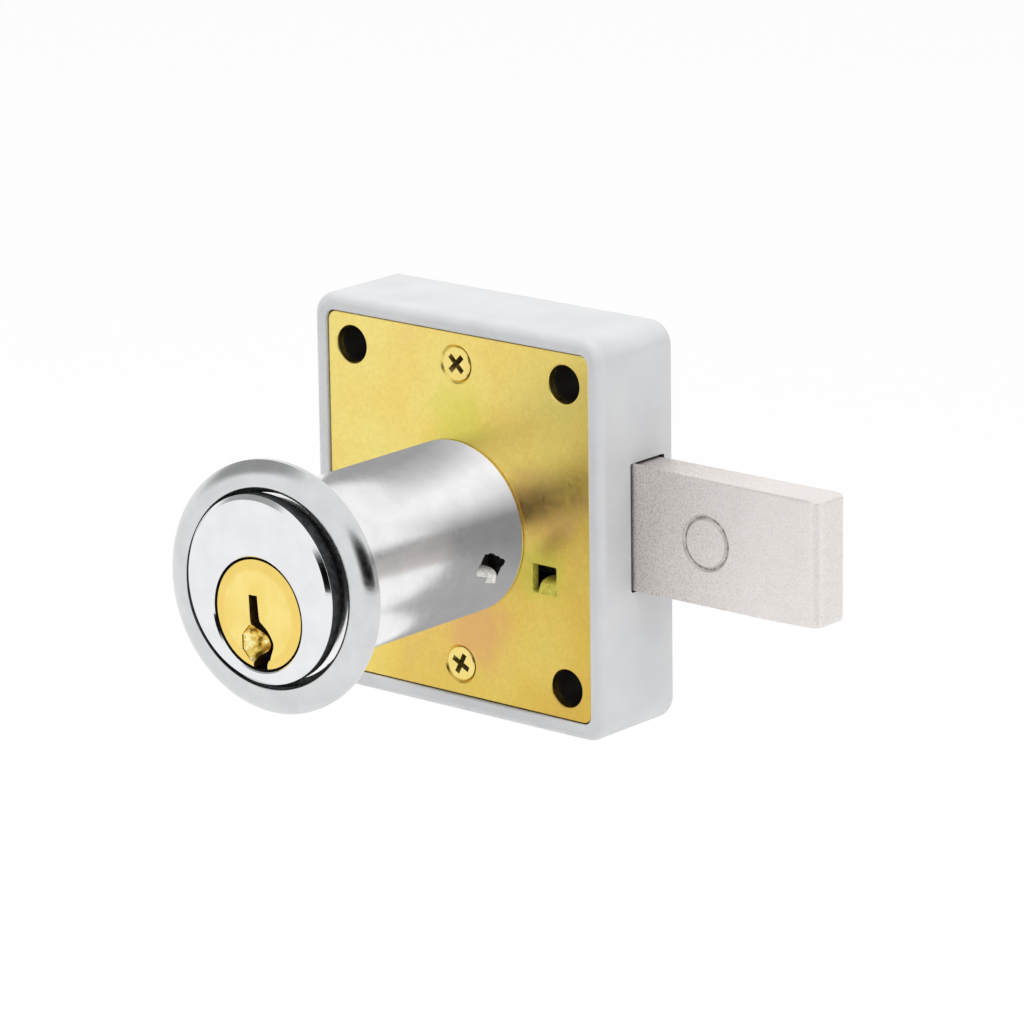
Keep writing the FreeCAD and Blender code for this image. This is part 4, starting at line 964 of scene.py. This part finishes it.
# Cover screws
# Two countersunk steel screws with a cross recess, yellow zinc plated a little paler than the plate.
# They hold the plate on the case's two bosses.

# Yellow zinc on a machined screw: smooth and pale gold.
screw_zinc = grained("screw_zinc", 1.0, 0.26, 1.2 * MM,
                     ((0.3, "#f1d97c"), (0.7, "#f9e590")), 0.3 * MM, 0.005 * MM)

# Yellow zinc in the cross recess: painted dark olive brown for the shade in it.
shaded_recess_zinc = grained("shaded_recess_zinc", 0.7, 0.5, 0.6 * MM,
                    ((0.3, "#6b5a2a"), (0.7, "#a08a45")), 0.3 * MM, 0.01 * MM)

screw_low, screw_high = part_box("cover_screws")
screw_head = 2.2 * MM
screw_shank = 1.25 * MM
screw_length = screw_high.y - screw_low.y
screw_profile = [(0, 0), (screw_head - 0.12 * MM, 0), (screw_head, 0.1 * MM), (screw_head, 0.18 * MM),
                 (screw_shank, 0.15 * MM + screw_head - screw_shank), (screw_shank, screw_length - 0.4 * MM),
                 (0.9 * MM, screw_length), (0, screw_length)]
screws = turned("cover_screws", screw_profile, screw_zinc, 64)
cross_half, cross_arm = 0.36 * MM, 1.4 * MM
cross_outline = []
for quarter in range(4):
    turn = math.radians(90 * quarter)
    for across, along in ((cross_arm, -cross_half), (cross_arm, cross_half), (cross_half, cross_half)):
        cross_outline.append((across * math.cos(turn) - along * math.sin(turn),
                              across * math.sin(turn) + along * math.cos(turn)))
cross_rings = [[(x * share, y, z * share) for x, z in cross_outline]
               for y, share in ((-0.3 * MM, 1.06), (0.0, 1.0), (0.9 * MM, 0.55), (1.3 * MM, 0.1))]
combine(screws, [stacked("cross", cross_rings, shaded_recess_zinc)])

pattern, given, result = new_node_group("screw_pattern", {
    "Start": "NodeSocketVector", "Step": "NodeSocketVector",
    "Turn": "NodeSocketFloat", "Next Turn": "NodeSocketFloat"})
number = add_node(pattern, "GeometryNodeInputIndex")
turn = add_node(pattern, "ShaderNodeMath", {"operation": "MULTIPLY_ADD"},
                {0: number.outputs["Index"], 1: given.outputs["Next Turn"], 2: given.outputs["Turn"]})
rotation = add_node(pattern, "ShaderNodeCombineXYZ", inputs={"Y": turn.outputs["Value"]})
material_number = add_node(pattern, "GeometryNodeInputMaterialIndex")
on_head = add_node(pattern, "FunctionNodeCompare", {"data_type": "INT", "operation": "EQUAL"},
                   {2: material_number.outputs["Material Index"], 3: 0})
in_a_row(pattern, result,
         {"Count": 2, "Start Location": given.outputs["Start"], "Offset": given.outputs["Step"]},
         {"Instance": given.outputs["Geometry"], "Rotation": rotation.outputs["Vector"]},
         {"Selection": on_head.outputs["Result"], "Material": screw_zinc})
grown(screws, pattern, {
    "Start": (case_middle.x - 0.08 * MM, screw_low.y, hole_rows[0]),
    "Step": (0.0, 0.0, hole_rows[1] - hole_rows[0]),
    "Turn": math.radians(27), "Next Turn": math.radians(17)})
finished(screws, "lock_case", "yellow_zinc_screw", "cover_screws")


# Studio
# A plain pale floor well below the lock, soft lamps, and a white surround for the camera and for reflections.
# The camera stands where the photo's outlines put it.

scene = bpy.context.scene
scene.view_settings.view_transform = "Standard"

pixels = 1024
focal_pixels = 5594.85
yaw, pitch, roll = math.radians(40.289), math.radians(15.422), math.radians(-0.773)
back = Vector((math.sin(yaw) * math.cos(pitch), -math.cos(yaw) * math.cos(pitch), math.sin(pitch)))
level_right = Vector((math.cos(yaw), math.sin(yaw), 0))
level_up = back.cross(level_right)
right = level_right * math.cos(roll) + level_up * math.sin(roll)
upward = level_up * math.cos(roll) - level_right * math.sin(roll)
eye = right * 7.14 * MM + upward * 1.752 * MM + back * 695.03 * MM
camera = bpy.data.objects.new("camera", bpy.data.cameras.new("camera"))
camera.data.sensor_width = 36
camera.data.lens = 36 * focal_pixels / pixels
camera.data.clip_start, camera.data.clip_end = 0.01, 20
camera.matrix_world = Matrix.Translation(eye) @ Matrix((right, upward, back)).transposed().to_4x4()
scene.collection.objects.link(camera)
scene.camera = camera


def see_white(tree, dim, white):
    """The strength white where a camera, a reflection or a clear piece looks, and dim elsewhere."""
    path = add_node(tree, "ShaderNodeLightPath")
    seen = path.outputs["Is Camera Ray"]
    for kind in ("Is Glossy Ray", "Is Transmission Ray"):
        either = add_node(tree, "ShaderNodeMath", {"operation": "MAXIMUM"}, {0: seen, 1: path.outputs[kind]})
        seen = either.outputs[0]
    return add_node(tree, "ShaderNodeMix", {"data_type": "FLOAT"}, {0: seen, 2: dim, 3: white}).outputs[0]


world = bpy.data.worlds.new("white_surround")
world.use_nodes = True
tree = world.node_tree
background = tree.nodes["Background"]
background.inputs["Color"].default_value = (1, 1, 1, 1)
tree.links.new(see_white(tree, 0.6, 1.0), background.inputs["Strength"])
scene.world = world

floor_drop = 60 * MM
floor_half = 3.0
floor_z = case_low.z - floor_drop
# Matt white paper: diffuse for the object's shadow, with plain white added where the camera looks
paper, tree, shader, place = new_finish("paper", 0.0, 0.9)
shader.inputs["Base Color"].default_value = linear("#f4f4f4")
glow = add_node(tree, "ShaderNodeEmission", inputs={"Color": (1, 1, 1, 1), "Strength": 1.0})
both = add_node(tree, "ShaderNodeMixShader", inputs={
    0: see_white(tree, 0.0, 0.92), 1: shader.outputs[0], 2: glow.outputs[0]})
tree.links.new(both.outputs[0], tree.nodes["Material Output"].inputs["Surface"])
floor_points = [(x, y, floor_z) for x, y in ((-floor_half, -floor_half), (floor_half, -floor_half),
                                              (floor_half, floor_half), (-floor_half, floor_half))]
paper_floor = new_piece("floor", floor_points, [[0, 1, 2, 3]], paper)
paper_floor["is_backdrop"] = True


def lamp(name, place, size, power):
    """A square soft lamp that looks at the lock."""
    light = bpy.data.lights.new(name, "AREA")
    light.size = size
    light.energy = power
    lit = bpy.data.objects.new(name, light)
    lit.visible_glossy = False
    facing = Vector(place).to_track_quat("Z", "Y").to_matrix().to_4x4()
    lit.matrix_world = Matrix.Translation(place) @ facing
    scene.collection.objects.link(lit)


lamp("key_lamp", (-0.15, -0.17, 0.78), 0.5, 4.4)
lamp("side_lamp", (0.72, -0.08, 0.25), 0.4, 1.45)


def only_reflected(piece):
    """Marks a card as part of the studio that shows only in reflections and blocks no light."""
    piece.visible_camera = piece.visible_diffuse = piece.visible_shadow = piece.visible_transmission = False
    piece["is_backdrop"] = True


def card(name, azimuth, elevation, distance, width, height, stops):
    """A card that faces the lock; its ramp of greys runs from its middle to its rim, so that it fades out."""
    finish, tree, shader, place = new_finish(name, 0.0, 1.0)
    shares = add_node(tree, "ShaderNodeVectorMath", {"operation": "MULTIPLY"},
                      {0: place, 1: (2 / width, 2 / height, 0)}).outputs["Vector"]
    share = add_node(tree, "ShaderNodeVectorMath", {"operation": "LENGTH"}, {0: shares}).outputs["Value"]
    grey = add_node(tree, "ShaderNodeValToRGB", inputs={"Fac": share}, stops=stops)
    light = add_node(tree, "ShaderNodeEmission", inputs={"Color": grey.outputs["Color"], "Strength": 1.0})
    tree.links.new(light.outputs[0], tree.nodes["Material Output"].inputs["Surface"])
    corners = [(x * width / 2, y * height / 2, 0) for x, y in ((-1, -1), (1, -1), (1, 1), (-1, 1))]
    piece = new_piece(name, corners, [[0, 1, 2, 3]], finish)
    turn, rise = math.radians(azimuth), math.radians(elevation)
    aside = Vector((math.cos(turn) * math.cos(rise), math.sin(turn) * math.cos(rise), math.sin(rise)))
    facing = aside.to_track_quat("Z", "Y").to_matrix().to_4x4()
    piece.matrix_world = Matrix.Translation(aside * distance) @ facing
    only_reflected(piece)


# The dark of the room beside the camera, a grey card above the left and one behind the lock
card("dark_card", -43, 10, 1.3, 1.55, 1.3,
     ((0.0, "#060606"), (0.42, "#101010"), (0.62, "#707070"), (1.0, "#ffffff")))
card("grey_card", -160, 42, 1.2, 1.9, 1.7, ((0.0, "#a4a4a4"), (0.6, "#acacac"), (1.0, "#ffffff")))
card("back_card", 47, 3, 1.2, 1.3, 0.7, ((0.0, "#8c8c8c"), (0.6, "#949494"), (1.0, "#ffffff")))

# A card before the cover plate, seen from outside only, so that the barrel mirrors soft greys and no gold
finish, tree, shader, place = new_finish("plate_card", 0.0, 1.0)
level_place = add_node(tree, "ShaderNodeMapping",
                       inputs={"Vector": place, "Rotation": (math.radians(-90), 0, 0)})
round_axis = add_node(tree, "ShaderNodeTexGradient", {"gradient_type": "RADIAL"},
                      {"Vector": level_place.outputs["Vector"]})
greys = add_node(tree, "ShaderNodeValToRGB", inputs={"Fac": round_axis.outputs["Fac"]}, stops=(
    (0.0, "#989898"), (0.25, "#a8a8a8"), (0.315, "#aaaaaa"), (0.417, "#acacac"), (0.5, "#8e8e8e"),
    (0.55, "#8c8c8c"), (0.605, "#ececec"), (0.64, "#ffffff"), (0.667, "#ffffff"), (0.74, "#c8c8c8"),
    (0.81, "#a5a5a5"), (1.0, "#989898")))
light = add_node(tree, "ShaderNodeEmission", inputs={"Color": greys.outputs["Color"], "Strength": 1.0})
clear = add_node(tree, "ShaderNodeBsdfTransparent")
side = add_node(tree, "ShaderNodeNewGeometry").outputs["Backfacing"]
both = add_node(tree, "ShaderNodeMixShader", inputs={0: side, 1: light.outputs[0], 2: clear.outputs[0]})
tree.links.new(both.outputs[0], tree.nodes["Material Output"].inputs["Surface"])
card_corners = rounded_rectangle((case_low.x, case_low.z), (case_high.x, case_high.z), case_corner)
card_points = [(x, -0.02 * MM, z) for x, z in card_corners]
plate_card = new_piece("plate_card", card_points, [list(range(len(card_points)))], finish)
if plate_card.data.polygons[0].normal.y > 0:
    plate_card.data.flip_normals()
only_reflected(plate_card)

low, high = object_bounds()
